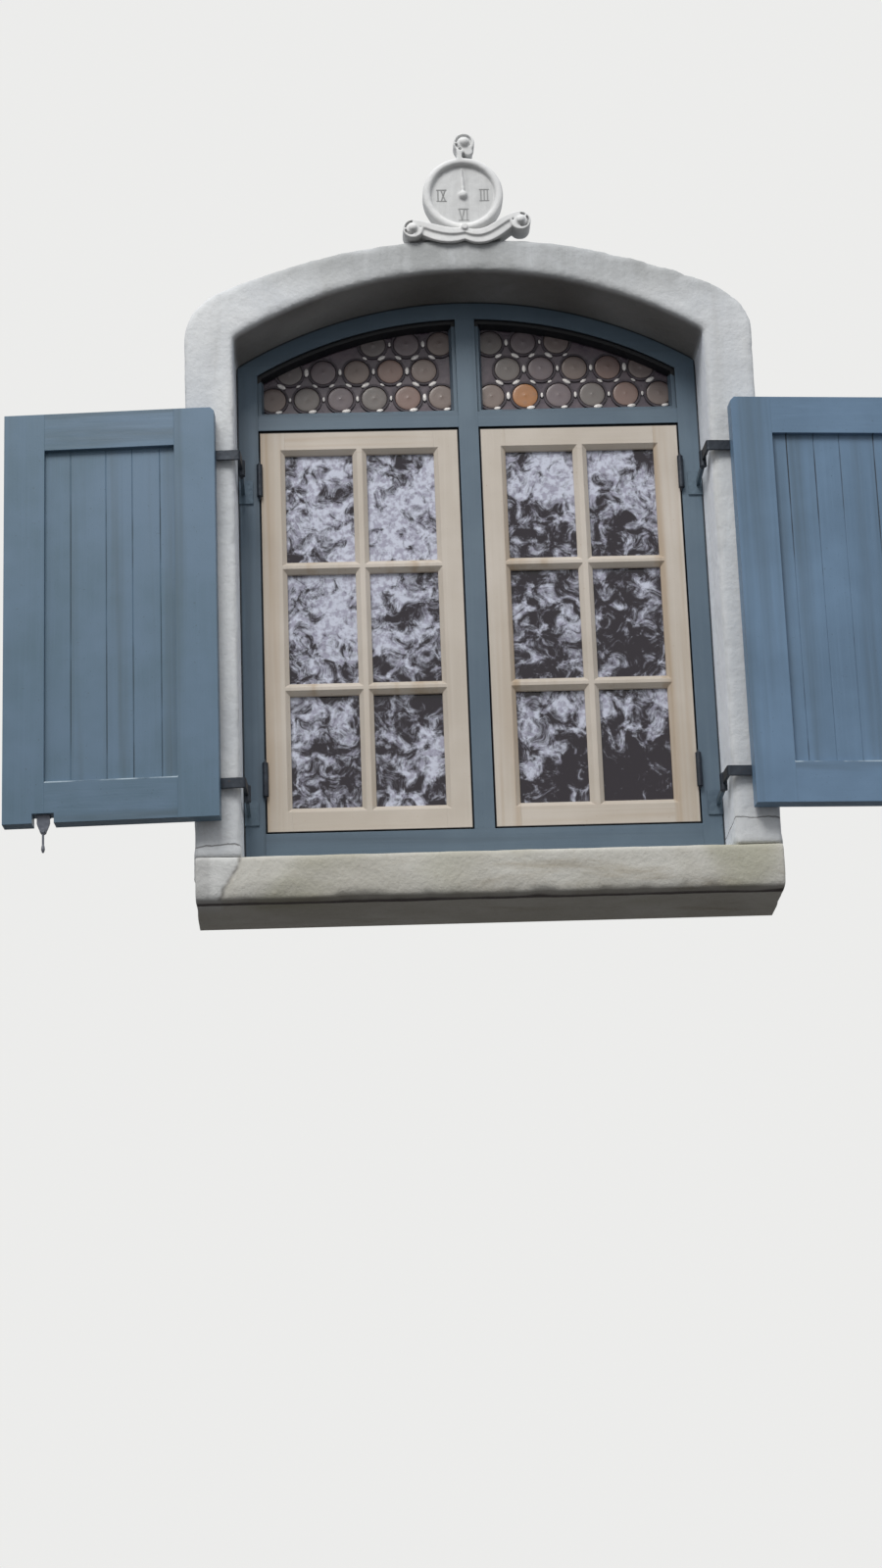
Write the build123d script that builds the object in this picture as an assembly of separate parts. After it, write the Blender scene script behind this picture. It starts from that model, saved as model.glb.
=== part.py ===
from build123d import *
import os
from math import atan, atan2, degrees, hypot, sqrt

os.makedirs("parts", exist_ok=True)

# Axes: X runs across the window, Y runs from the street into the room, Z is up.
# The origin lies under the middle of the sill, in the front plane of the wooden frame.
# The shutters stand open, leaning back, and the casements are shut.

# Opening
OPENING_WIDTH = 1124.0
OPENING_RISE = 165.0
SPRINGING_Z = 1396.0
REVEAL_DEPTH = 175.0

# Surround
BAND_WIDTH = 122.0
BAND_FOOT_INSET = 13.0
BAND_AT_CROWN = 89.0
SURROUND_ARCH_RADIUS = 1430.0
SHOULDER_ROUND = 135.0
FLANGE_THICKNESS = 45.0
BAND_PROJECTION = 40.0
LINING_THICKNESS = 40.0
INNER_ARRIS_ROUND = 15.0
OUTER_ARRIS_ROUND = 12.0

# Sill
SILL_HEIGHT = 107.0
SILL_FALL = 13.0
SILL_OVERHANG = 15.0
SILL_ARRIS_ROUND = 12.0

# Frame
FRAME_CLEARANCE = 1.0
FRAME_DEPTH = 75.0
JAMB_WIDTH = 50.0
HEAD_WIDTH = 44.0
MULLION_WIDTH = 48.0
TRANSOM_HEIGHT = 39.0
TRANSOM_Z = 1228.0
FRAME_RAIL_HEIGHT = 89.0
REBATE_DEPTH = 42.0
STOP_WIDTH = 12.0

# Transom lights
ROUNDELS_ACROSS = 6
ROUNDEL_ROWS = 3
ROUNDEL_RADIUS = 32.5
ROUNDEL_MARGIN = 5.0
ROUNDEL_FIRST_ROW = 56.0
ROUNDEL_ROW_PITCH = 71.5
ROUNDEL_FROM_HEAD = 12.0
ROUNDEL_REACH_SHARE = 3.2
CAME_WIDTH = 5.0
CAME_DEPTH = 4.0
BORDER_CAME_WIDTH = 8.0
LIGHT_GLASS = 4.0
LIGHT_CLEARANCE = 0.5
BEAD_DEPTH = 24.0
BEAD_FRONT_WIDTH = 9.0
BEAD_BACK_WIDTH = 15.0

# Casements
CASEMENT_GAP = 3.0
CASEMENT_TOP_GAP = 6.0
CASEMENT_THICKNESS = 40.0
STILE_WIDTH = 60.0
TOP_RAIL_HEIGHT = 57.0
BOTTOM_RAIL_HEIGHT = 60.0
MOULDING_WIDTH = 11.0
MOULDING_DEPTH = 10.0
UPRIGHT_BAR_WIDTH = 34.0
CROSS_BAR_HEIGHT = 30.0
PANE_COLUMNS = 2
PANE_ROWS = 3
PANE_THICKNESS = 4.0
PANE_SETBACK = 18.0
PANE_GROOVE = 8.0

# Casement hinges
BUTT_HEIGHT = 76.0
BUTT_FROM_END = 127.0
BUTT_KNUCKLE_RADIUS = 7.0
BUTT_LEAF_THICKNESS = 2.0
BUTT_LEAF_LET_IN = 1.3
BUTT_LEAF_DEPTH = 30.0
BUTT_PIN_RADIUS = 4.0
BUTT_FINIAL_HEIGHT = 12.0
BUTT_POINT_RADIUS = 1.0
HINGE_RUNNING_CLEARANCE = 0.05
KNUCKLE_GAP = 0.3
FACE_GAP = 0.4

# Casement handles
HANDLE_FROM_EDGE = 35.0
HANDLE_HEIGHT_SHARE = 0.45
HANDLE_PLATE_WIDTH = 22.0
HANDLE_PLATE_HEIGHT = 70.0
HANDLE_PLATE_THICKNESS = 4.0
HANDLE_BOSS_RADIUS = 9.0
HANDLE_LENGTH = 88.0
HANDLE_WIDTH = 12.0
HANDLE_BAR_THICKNESS = 6.0
HANDLE_TAPER_SHARE = 0.36
HANDLE_TIP_SHARE = 0.65
COCKSPUR_OVERLAP = 10.0
COCKSPUR_CLEARANCE = 0.5
HANDLE_SPINDLE_RADIUS = 5.0

# Shutters
SHUTTER_BOTTOM_Z = 190.0
SHUTTER_HEIGHT = 1004.0
SHUTTER_THICKNESS = 40.0
SHUTTER_STILE_WIDTH = 95.0
SHUTTER_TOP_RAIL = 92.0
SHUTTER_BOTTOM_RAIL = 98.0
SHUTTER_MEETING_GAP = 3.0
SHUTTER_FRAME_GAP = 14.0
SHUTTER_OPEN_GAP = 12.0
SHUTTER_EDGE_OFFSET = 42.0
SHUTTER_LEAN = 3.5
SHUTTER_CORNER_BEVEL = 9.0
BOARD_RECESS = 13.0
BOARD_THICKNESS = 16.0
BOARD_GROOVE = 10.0
BOARD_JOINTS = (0.0, 0.215, 0.47, 0.66, 0.86, 1.0)
BOARD_VEE = 1.2

# Shutter hinges
PINTLE_OFFSET = 12.0
PINTLE_RADIUS = 5.0
STRAP_FROM_TOP = 108.0
STRAP_FROM_BOTTOM = 88.0
STRAP_HEIGHT = 24.0
STRAP_THICKNESS = 6.0
STRAP_LET_IN = 4.0
STRAP_ON_STILE = 84.0
STRAP_EYE_RADIUS = 8.5
STRAP_SCREWS = 3
STRAP_SCREW_RADIUS = 2.5
STRAP_SCREW_HEAD_RADIUS = 5.0
STRAP_SCREW_LENGTH = 28.0
STRAP_SCREW_POINT = 4.0
STRAP_SCREW_FIRST = 14.0
STRAP_SCREW_SPACING = 24.0
PINTLE_ARM_WIDTH = 8.0
PINTLE_ARM_HEIGHT = 14.0
PINTLE_PLATE_HEIGHT = 60.0
PINTLE_PLATE_WIDTH = 34.0
PINTLE_PLATE_THICKNESS = 4.0

# Shutter catches
CATCH_FROM_EDGE = 93.0
NOTCH_WIDTH = 50.0
NOTCH_HEIGHT = 23.0
CATCH_PLATE_THICKNESS = 5.0
CATCH_PLATE_WIDTH = 30.0
CATCH_PLATE_SHANK = 17.0
CATCH_PLATE_SETBACK = 9.0
CATCH_FOOT_DEPTH = 20.0
CATCH_STUD_RADIUS = 3.5
CATCH_EYE_RADIUS = 7.5
CATCH_PIN_RADIUS = 2.6
CATCH_TIP_RADIUS = 4.5
CATCH_TIP_HEIGHT = 18.0
CATCH_TIP_PROFILE = ((0.5, 0.0), (1.0, 0.4), (0.8, 0.8))
CATCH_PIN_LENGTH = 51.0
CATCH_WAIST_SHARE = 0.72
CATCH_WAIST_RISE = 7.0
CATCH_SHOULDER = 2.0
CATCH_RIVET_LIP = 1.5

# Clock ornament
CLOCK_Z = 1766.0
CLOCK_RADIUS = 98.0
CLOCK_RING_WIDTH = 20.0
CLOCK_DEPTH = 45.0
DIAL_RECESS = 14.0
CLOCK_BOSS_RADIUS = 10.5
CLOCK_BOSS_STEP = 4.0
CLOCK_BOSS_HEIGHT = 7.5
CLOCK_HAND_LENGTH = 70.0
CLOCK_HAND_WIDTH = 8.0
CLOCK_HAND_SHOULDER = 18.0
CLOCK_HAND_THICKNESS = 5.0
NUMERAL_HEIGHT = 30.0
NUMERAL_STROKE = 3.0
NUMERAL_DEPTH = 1.5
NUMERAL_REACH = 52.0
NUMERAL_WIDTHS = {"I": 8.0, "V": 17.0, "X": 17.0}
NUMERAL_LEAN = 10.0
NUMERAL_SPREAD = 4.0
SERIF_STROKE = 2.4
VOLUTE_RADIUS = 25.0
LEFT_VOLUTE_X = -125.0
LEFT_VOLUTE_Z = 1667.0
RIGHT_VOLUTE_X = 136.0
RIGHT_VOLUTE_Z = 1684.0
SCROLL_TOP_Z = 1669.0
SCROLL_HEIGHT = 31.0
SCROLL_RIDGE_SHARE = 0.5
SCROLL_SAG = 5.0
SCROLL_SAG_AT = 0.45
SCROLL_RISE_FROM = (1.2, 0.8)
SCROLL_RISE_DROP = (0.28, 0.6)
SCROLL_ROUND = 2.5
SCROLL_PROUD = 12.0
VOLUTE_PROUD = 5.0
COIL_GROOVE_DEPTH = 9.0
COIL_EYE_SHARE = 0.44
COIL_TURN_SHARES = (0.74, 0.56)
COIL_GROOVE_SHARE = 0.17
BUD_RADIUS = 9.0
CROOK_RADIUS = 26.0
CROOK_X = 7.0
CROOK_Z = 1902.0
CROOK_BEAD_RADIUS = 11.0
CROOK_BEAD_X = 17.0
CROOK_BEAD_DROP = 24.0
CROOK_FOOT_X = -7.0
CROOK_NECK_WIDTH = 18.0
CROOK_TURN = 70.0

# Worked out from the sizes above
HALF_OPENING = OPENING_WIDTH / 2
ARCH_RADIUS = (HALF_OPENING**2 + OPENING_RISE**2) / (2 * OPENING_RISE)
ARCH_CENTRE_Z = SPRINGING_Z + OPENING_RISE - ARCH_RADIUS
CROWN_Z = SPRINGING_Z + OPENING_RISE
SURROUND_FRONT = -REVEAL_DEPTH
WALL_FACE = SURROUND_FRONT + BAND_PROJECTION
HALF_SURROUND = HALF_OPENING + BAND_WIDTH
HALF_FOOT = HALF_SURROUND - BAND_FOOT_INSET
SILL_FRONT = SURROUND_FRONT - SILL_OVERHANG
FRAME_BOTTOM = SILL_HEIGHT + SILL_FALL
HALF_FRAME = HALF_OPENING - FRAME_CLEARANCE
HALF_LIGHTS = HALF_FRAME - JAMB_WIDTH
HALF_MULLION = MULLION_WIDTH / 2
HEAD_RADIUS = ARCH_RADIUS - FRAME_CLEARANCE
LIGHT_RADIUS = HEAD_RADIUS - HEAD_WIDTH
RAIL_TOP = FRAME_BOTTOM + FRAME_RAIL_HEIGHT
TRANSOM_TOP = TRANSOM_Z + TRANSOM_HEIGHT
CASEMENT_OUTER = HALF_LIGHTS - CASEMENT_GAP
CASEMENT_INNER = HALF_MULLION + CASEMENT_GAP
CASEMENT_BOTTOM = RAIL_TOP + CASEMENT_GAP
CASEMENT_TOP = TRANSOM_Z - CASEMENT_TOP_GAP
BUTT_X = -(HALF_LIGHTS + CASEMENT_OUTER) / 2
BUTT_Y = -BUTT_KNUCKLE_RADIUS - FACE_GAP
BUTT_HEIGHTS = (CASEMENT_BOTTOM + BUTT_FROM_END, CASEMENT_TOP - BUTT_FROM_END)
PINTLE_X = -(HALF_OPENING - PINTLE_OFFSET)
PINTLE_Y = -(SHUTTER_FRAME_GAP + REVEAL_DEPTH + SHUTTER_OPEN_GAP + SHUTTER_THICKNESS) / 2
SHUTTER_INSIDE = -SHUTTER_FRAME_GAP
SHUTTER_OUTSIDE = SHUTTER_INSIDE - SHUTTER_THICKNESS
SHUTTER_HINGE_EDGE = PINTLE_X + PINTLE_OFFSET + SHUTTER_EDGE_OFFSET
SHUTTER_MEETING_EDGE = -SHUTTER_MEETING_GAP / 2
SHUTTER_TOP_Z = SHUTTER_BOTTOM_Z + SHUTTER_HEIGHT
STRAP_HEIGHTS = (SHUTTER_BOTTOM_Z + STRAP_FROM_BOTTOM, SHUTTER_TOP_Z - STRAP_FROM_TOP)
PLATE_FRONT = CASEMENT_THICKNESS + HANDLE_PLATE_THICKNESS
HANDLE_X = -(CASEMENT_INNER + HANDLE_FROM_EDGE)
HANDLE_Z = CASEMENT_BOTTOM + HANDLE_HEIGHT_SHARE * (CASEMENT_TOP - CASEMENT_BOTTOM)
COCKSPUR_FRONT = FRAME_DEPTH + COCKSPUR_CLEARANCE
DIAL_FACE = WALL_FACE - CLOCK_DEPTH + DIAL_RECESS


def slab(left, right, front, back, bottom, top):
    """A block between six planes."""
    size = Box(right - left, back - front, top - bottom)
    return Pos((left + right) / 2, (front + back) / 2, (bottom + top) / 2) * size


def prism(outline, front, back):
    """An outline drawn in X and Z, thickened from front to back."""
    return extrude(Plane.XZ.offset(-back) * outline, amount=back - front)


def plan_prism(outline, bottom, top):
    """An outline drawn in X and Y, raised from bottom to top."""
    return extrude(Plane.XY.offset(bottom) * outline, amount=top - bottom)


def upright_rod(radius, x, y, bottom, top):
    """A vertical round bar."""
    return Pos(x, y, (bottom + top) / 2) * Cylinder(radius, top - bottom)


def cross_rod(radius, x, z, front, back):
    """A round bar that points into the room."""
    return Pos(x, (front + back) / 2, z) * Rot(90, 0, 0) * Cylinder(radius, back - front)


def arc_z(x, radius):
    """Height of a round head of this radius at x."""
    return ARCH_CENTRE_Z + sqrt(radius**2 - x**2)


def arched_outline(left, right, bottom, radius):
    """Two upright sides and a level foot under a round head."""
    middle = (left + right) / 2
    sides = Polyline(
        (left, arc_z(left, radius)),
        (left, bottom),
        (right, bottom),
        (right, arc_z(right, radius)),
    )
    head = ThreePointArc(
        (right, arc_z(right, radius)),
        (middle, arc_z(middle, radius)),
        (left, arc_z(left, radius)),
    )
    return make_face([*sides.edges(), *head.edges()])


def opening_space(front, back):
    """The hole through the surround."""
    outline = arched_outline(-HALF_OPENING, HALF_OPENING, -SILL_HEIGHT, ARCH_RADIUS)
    return prism(outline, front, back)


def sill():
    profile = make_face(
        Polyline(
            (SILL_FRONT, 0),
            (SILL_FRONT, SILL_HEIGHT),
            (0, FRAME_BOTTOM),
            (FRAME_DEPTH, FRAME_BOTTOM),
            (FRAME_DEPTH, 0),
            close=True,
        ).edges()
    )
    block = extrude(Plane.YZ.offset(-HALF_FOOT) * profile, amount=2 * HALF_FOOT)
    front_face = block.faces().sort_by(Axis.Y)[0]
    return fillet(front_face.edges().filter_by(Axis.X), SILL_ARRIS_ROUND)


def surround_outline():
    """The outer edge of the band, a flatter arch with rounded shoulders."""
    crown = CROWN_Z + BAND_AT_CROWN
    centre = crown - SURROUND_ARCH_RADIUS
    corner = centre + sqrt(SURROUND_ARCH_RADIUS**2 - HALF_SURROUND**2)
    sides = Polyline(
        (-HALF_SURROUND, corner),
        (-HALF_FOOT, 0),
        (HALF_FOOT, 0),
        (HALF_SURROUND, corner),
    )
    head = ThreePointArc((HALF_SURROUND, corner), (0, crown), (-HALF_SURROUND, corner))
    outline = make_face([*sides.edges(), *head.edges()])
    shoulders = outline.vertices().group_by(Axis.Y)[-1]
    return fillet(shoulders, SHOULDER_ROUND)


def arris_edges(band, inside):
    """Edges of the band's front face above the sill, round the opening or outside it."""
    side = (HALF_OPENING + HALF_SURROUND) / 2
    top = CROWN_Z + BAND_AT_CROWN / 2
    chosen = []
    for edge in band.faces().sort_by(Axis.Y)[0].edges():
        middle = edge @ 0.5
        if middle.Z > SILL_HEIGHT and (abs(middle.X) < side and middle.Z < top) == inside:
            chosen.append(edge)
    return chosen


def surround(sill_block):
    """A rendered band that turns into the reveal and lines it."""
    flange_back = SURROUND_FRONT + FLANGE_THICKNESS
    flange = prism(surround_outline(), SURROUND_FRONT, flange_back)
    half_lining = HALF_OPENING + LINING_THICKNESS
    lining = prism(
        arched_outline(-half_lining, half_lining, 0, ARCH_RADIUS + LINING_THICKNESS),
        flange_back,
        FRAME_DEPTH,
    )
    opening = opening_space(SURROUND_FRONT - 1, FRAME_DEPTH + 1)
    band = flange + lining - opening
    band = fillet(arris_edges(band, True), INNER_ARRIS_ROUND)
    band = fillet(arris_edges(band, False), OUTER_ARRIS_ROUND)
    return band - sill_block


def frame_jamb():
    """The left jamb, rebated for the casement and stopped under the head."""
    section = make_face(
        Polyline(
            (-HALF_FRAME, 0),
            (-HALF_LIGHTS, 0),
            (-HALF_LIGHTS, REBATE_DEPTH),
            (-HALF_LIGHTS + STOP_WIDTH, REBATE_DEPTH),
            (-HALF_LIGHTS + STOP_WIDTH, FRAME_DEPTH),
            (-HALF_FRAME, FRAME_DEPTH),
            close=True,
        ).edges()
    )
    return plan_prism(section, FRAME_BOTTOM, arc_z(HALF_LIGHTS, LIGHT_RADIUS))


def frame_head():
    """The arched head on the jambs, rebated like them."""
    foot = arc_z(HALF_LIGHTS, LIGHT_RADIUS)
    body = prism(arched_outline(-HALF_FRAME, HALF_FRAME, foot, HEAD_RADIUS), 0, FRAME_DEPTH)
    front_hole = arched_outline(-HALF_LIGHTS, HALF_LIGHTS, foot - HEAD_WIDTH, LIGHT_RADIUS)
    stop_radius = LIGHT_RADIUS - STOP_WIDTH
    half_stop = HALF_LIGHTS - STOP_WIDTH
    back_hole = arched_outline(-half_stop, half_stop, foot - HEAD_WIDTH, stop_radius)
    body -= prism(front_hole, -1, REBATE_DEPTH)
    return body - prism(back_hole, -1, FRAME_DEPTH + 1)


def frame_rail(jambs):
    """The bottom rail between the jambs, with its stop behind the casements."""
    face = slab(-HALF_LIGHTS, HALF_LIGHTS, 0, REBATE_DEPTH, FRAME_BOTTOM, RAIL_TOP)
    stop_top = RAIL_TOP + STOP_WIDTH
    back = slab(-HALF_LIGHTS, HALF_LIGHTS, REBATE_DEPTH, FRAME_DEPTH, FRAME_BOTTOM, stop_top)
    return face + back - jambs


def frame_mullion(rail, head):
    """The middle post, from the bottom rail up to the crown of the head."""
    half_stop = HALF_MULLION + STOP_WIDTH
    face = slab(-HALF_MULLION, HALF_MULLION, 0, REBATE_DEPTH, FRAME_BOTTOM, CROWN_Z)
    back = slab(-half_stop, half_stop, REBATE_DEPTH, FRAME_DEPTH, FRAME_BOTTOM, CROWN_Z)
    under_head = prism(
        arched_outline(-HALF_FRAME, HALF_FRAME, FRAME_BOTTOM, HEAD_RADIUS - HEAD_WIDTH / 2),
        0,
        FRAME_DEPTH,
    )
    return (face + back - rail - head) & under_head


def frame_transom(neighbours):
    """The left transom, with a stop below for the casement and above for the light."""
    face = slab(-HALF_LIGHTS, -HALF_MULLION, 0, REBATE_DEPTH, TRANSOM_Z, TRANSOM_TOP)
    back = slab(
        -HALF_LIGHTS,
        -HALF_MULLION,
        REBATE_DEPTH,
        FRAME_DEPTH,
        TRANSOM_Z - STOP_WIDTH,
        TRANSOM_TOP + STOP_WIDTH,
    )
    return face + back - neighbours


def light_outline(inset):
    """The left transom light, drawn in by an inset on all four sides."""
    return arched_outline(
        -HALF_LIGHTS + inset,
        -HALF_MULLION - inset,
        TRANSOM_TOP + inset,
        LIGHT_RADIUS - inset,
    )


def roundel_centres():
    """Rows of roundels, every second row moved by half a step, kept under the head."""
    room = LIGHT_RADIUS - ROUNDEL_FROM_HEAD
    first = -HALF_LIGHTS + ROUNDEL_MARGIN + ROUNDEL_RADIUS
    last = -HALF_MULLION - ROUNDEL_MARGIN - ROUNDEL_RADIUS
    pitch = (last - first) / (ROUNDELS_ACROSS - 1)
    rows = []
    for row in range(ROUNDEL_ROWS):
        z = TRANSOM_TOP + ROUNDEL_FIRST_ROW + row * ROUNDEL_ROW_PITCH
        shift = pitch / 2 * (row % 2)
        columns = ROUNDELS_ACROSS - row % 2
        places = [first + shift + pitch * column for column in range(columns)]
        rows.append([(x, z) for x in places if hypot(x, z - ARCH_CENTRE_Z) <= room])
    return rows


def neighbour_pairs(rows, reach):
    """Pairs of roundels that stand close enough for one short came between them."""
    centres = [centre for row in rows for centre in row]
    pairs = []
    for index, first in enumerate(centres):
        for second in centres[index + 1:]:
            if hypot(second[0] - first[0], second[1] - first[1]) < reach:
                pairs.append((first, second))
    return pairs


def light_leads(back):
    """Rings of lead round the roundels, short cames between them and a border."""
    rows = roundel_centres()
    net = Sketch()
    for first, second in neighbour_pairs(rows, ROUNDEL_REACH_SHARE * ROUNDEL_RADIUS):
        middle = ((first[0] + second[0]) / 2, (first[1] + second[1]) / 2)
        run = hypot(second[0] - first[0], second[1] - first[1]) - 2 * ROUNDEL_RADIUS
        turn = degrees(atan2(second[1] - first[1], second[0] - first[0]))
        net += Pos(*middle) * Rot(0, 0, turn) * Rectangle(run, CAME_WIDTH)
    for row in rows:
        for x, z in row:
            net += Pos(x, z) * Circle(ROUNDEL_RADIUS + CAME_WIDTH)
    for row in rows:
        for x, z in row:
            net -= Pos(x, z) * Circle(ROUNDEL_RADIUS)
    panel = light_outline(LIGHT_CLEARANCE)
    net = (net & panel) + (panel - light_outline(LIGHT_CLEARANCE + BORDER_CAME_WIDTH))
    return prism(net, back - CAME_DEPTH, back)


def light_beads(back):
    """Splayed beads that hold the leaded light against its stops."""
    front = back - BEAD_DEPTH
    splay = degrees(atan((BEAD_BACK_WIDTH - BEAD_FRONT_WIDTH) / BEAD_DEPTH))
    daylight = Plane.XZ.offset(-back) * light_outline(BEAD_BACK_WIDTH)
    hole = extrude(daylight, amount=BEAD_DEPTH, taper=-splay)
    return prism(light_outline(0), front, back) - hole


def pane_places():
    """Left, right, bottom and top of each pane's daylight opening."""
    left = -CASEMENT_OUTER + STILE_WIDTH
    right = -CASEMENT_INNER - STILE_WIDTH
    bottom = CASEMENT_BOTTOM + BOTTOM_RAIL_HEIGHT
    top = CASEMENT_TOP - TOP_RAIL_HEIGHT
    width = (right - left - UPRIGHT_BAR_WIDTH * (PANE_COLUMNS - 1)) / PANE_COLUMNS
    height = (top - bottom - CROSS_BAR_HEIGHT * (PANE_ROWS - 1)) / PANE_ROWS
    places = []
    for column in range(PANE_COLUMNS):
        for row in range(PANE_ROWS):
            x = left + column * (width + UPRIGHT_BAR_WIDTH)
            z = bottom + row * (height + CROSS_BAR_HEIGHT)
            places.append((x, x + width, z, z + height))
    return places


def pane_daylight(left, right, bottom, top):
    """One pane's opening, with the splay of the moulding on the street side."""
    middle = ((left + right) / 2, (bottom + top) / 2)
    outline = Pos(*middle) * Rectangle(right - left, top - bottom)
    splay = degrees(atan(MOULDING_WIDTH / MOULDING_DEPTH))
    flare = extrude(
        Plane.XZ.offset(-MOULDING_DEPTH) * outline,
        amount=MOULDING_DEPTH,
        taper=-splay,
    )
    return prism(outline, -1, CASEMENT_THICKNESS + 1) + flare


def casement():
    """The left casement: two stiles, two rails, a lattice of bars and six panes."""
    places = pane_places()
    panes = [
        slab(
            left - PANE_GROOVE,
            right + PANE_GROOVE,
            PANE_SETBACK,
            PANE_SETBACK + PANE_THICKNESS,
            bottom - PANE_GROOVE,
            top + PANE_GROOVE,
        )
        for left, right, bottom, top in places
    ]
    holes = Compound([pane_daylight(*place) for place in places])
    grooves = Compound(panes)
    left, right = -CASEMENT_OUTER, -CASEMENT_INNER
    bottom, top = CASEMENT_BOTTOM, CASEMENT_TOP
    inner_left = left + STILE_WIDTH
    inner_right = right - STILE_WIDTH
    inner_bottom = bottom + BOTTOM_RAIL_HEIGHT
    inner_top = top - TOP_RAIL_HEIGHT
    back = CASEMENT_THICKNESS
    members = {
        "hinge_stile": slab(left, inner_left, 0, back, bottom, top),
        "meeting_stile": slab(inner_right, right, 0, back, bottom, top),
        "top_rail": slab(inner_left, inner_right, 0, back, inner_top, top),
        "bottom_rail": slab(inner_left, inner_right, 0, back, bottom, inner_bottom),
        "glazing_bars": slab(inner_left, inner_right, 0, back, inner_bottom, inner_top),
    }
    cut = {name: member - holes - grooves for name, member in members.items()}
    cut["panes"] = grooves
    return cut


def knuckle_heights():
    """Three equal knuckles with running gaps, measured from the hinge's middle."""
    each = (BUTT_HEIGHT - 2 * KNUCKLE_GAP) / 3
    bottom = -BUTT_HEIGHT / 2
    spans = []
    for index in range(3):
        start = bottom + index * (each + KNUCKLE_GAP)
        spans.append((start, start + each))
    return spans


def butt_leaf(z, outer, inner, spans):
    """One leaf let into the wood, with tabs out to its own knuckles."""
    leaf = slab(outer, inner, 0, BUTT_LEAF_DEPTH, z - BUTT_HEIGHT / 2, z + BUTT_HEIGHT / 2)
    for start, end in spans:
        leaf += slab(outer, inner, BUTT_Y, 0, z + start, z + end)
        leaf += upright_rod(BUTT_KNUCKLE_RADIUS, BUTT_X, BUTT_Y, z + start, z + end)
    bore = BUTT_PIN_RADIUS + HINGE_RUNNING_CLEARANCE
    low, high = z - BUTT_HEIGHT, z + BUTT_HEIGHT
    return leaf - upright_rod(bore, BUTT_X, BUTT_Y, low, high)


def butt_pin(z):
    """A hinge pin with a pointed finial at each end."""
    pin = upright_rod(BUTT_PIN_RADIUS, BUTT_X, BUTT_Y, z - BUTT_HEIGHT / 2, z + BUTT_HEIGHT / 2)
    collar = BUTT_FINIAL_HEIGHT / 4
    point = BUTT_FINIAL_HEIGHT - collar
    finial = Pos(0, 0, collar / 2) * Cylinder(BUTT_KNUCKLE_RADIUS, collar)
    finial += Pos(0, 0, collar + point / 2) * Cone(BUTT_PIN_RADIUS, BUTT_POINT_RADIUS, point)
    upper = Pos(BUTT_X, BUTT_Y, z + BUTT_HEIGHT / 2) * finial
    lower = Pos(BUTT_X, BUTT_Y, z - BUTT_HEIGHT / 2) * Rot(180, 0, 0) * finial
    return pin + upper + lower


def casement_hinges():
    """Frame leaves, sash leaves and pins of the two hinges on the left."""
    outer, middle, inner = knuckle_heights()[0], knuckle_heights()[1], knuckle_heights()[2]
    frame_side = -HALF_LIGHTS - BUTT_LEAF_LET_IN
    sash_side = -CASEMENT_OUTER + BUTT_LEAF_LET_IN
    frame_leaves = [
        butt_leaf(z, frame_side, frame_side + BUTT_LEAF_THICKNESS, (outer, inner))
        for z in BUTT_HEIGHTS
    ]
    sash_leaves = [
        butt_leaf(z, sash_side - BUTT_LEAF_THICKNESS, sash_side, (middle,))
        for z in BUTT_HEIGHTS
    ]
    pins = [butt_pin(z) for z in BUTT_HEIGHTS]
    return Compound(frame_leaves), Compound(sash_leaves), Compound(pins)


def handle_plate():
    """The plate on the room side of the meeting stile, with the handle's spindle."""
    half = HANDLE_PLATE_WIDTH / 2
    outline = Pos(HANDLE_X, HANDLE_Z) * SlotOverall(HANDLE_PLATE_HEIGHT, 2 * half, rotation=90)
    plate = prism(outline, CASEMENT_THICKNESS, PLATE_FRONT)
    spindle_end = COCKSPUR_FRONT + HANDLE_BAR_THICKNESS
    return plate + cross_rod(HANDLE_SPINDLE_RADIUS, HANDLE_X, HANDLE_Z, PLATE_FRONT, spindle_end)


def casement_handle():
    """The turning handle, its grip towards the hinges and its cockspur hanging down."""
    back = COCKSPUR_FRONT + HANDLE_BAR_THICKNESS
    boss = cross_rod(HANDLE_BOSS_RADIUS, HANDLE_X, HANDLE_Z, PLATE_FRONT + KNUCKLE_GAP, back)
    reach = -HALF_MULLION - STOP_WIDTH + COCKSPUR_OVERLAP - HANDLE_X
    grip = make_face(
        Polyline(
            (HANDLE_X, HANDLE_Z - HANDLE_WIDTH / 2),
            (HANDLE_X - HANDLE_LENGTH, HANDLE_Z - HANDLE_WIDTH * HANDLE_TAPER_SHARE),
            (HANDLE_X - HANDLE_LENGTH, HANDLE_Z + HANDLE_WIDTH * HANDLE_TAPER_SHARE),
            (HANDLE_X, HANDLE_Z + HANDLE_WIDTH / 2),
            close=True,
        ).edges()
    )
    grip += Pos(HANDLE_X - HANDLE_LENGTH, HANDLE_Z) * Circle(HANDLE_WIDTH * HANDLE_TIP_SHARE)
    half = HANDLE_WIDTH / 2
    cockspur = slab(
        HANDLE_X - half, HANDLE_X + half, COCKSPUR_FRONT, back, HANDLE_Z - reach, HANDLE_Z
    )
    lever = boss + prism(grip, COCKSPUR_FRONT, back) + cockspur
    bore = HANDLE_SPINDLE_RADIUS + HINGE_RUNNING_CLEARANCE
    return lever - cross_rod(bore, HANDLE_X, HANDLE_Z, PLATE_FRONT - 1, back + 1)


def open_shutter(shape):
    """Turns a piece of the left shutter from shut to open and leaning back."""
    return shape.rotate(Axis((PINTLE_X, PINTLE_Y, 0), (0, 0, 1)), -180 - SHUTTER_LEAN)


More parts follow.
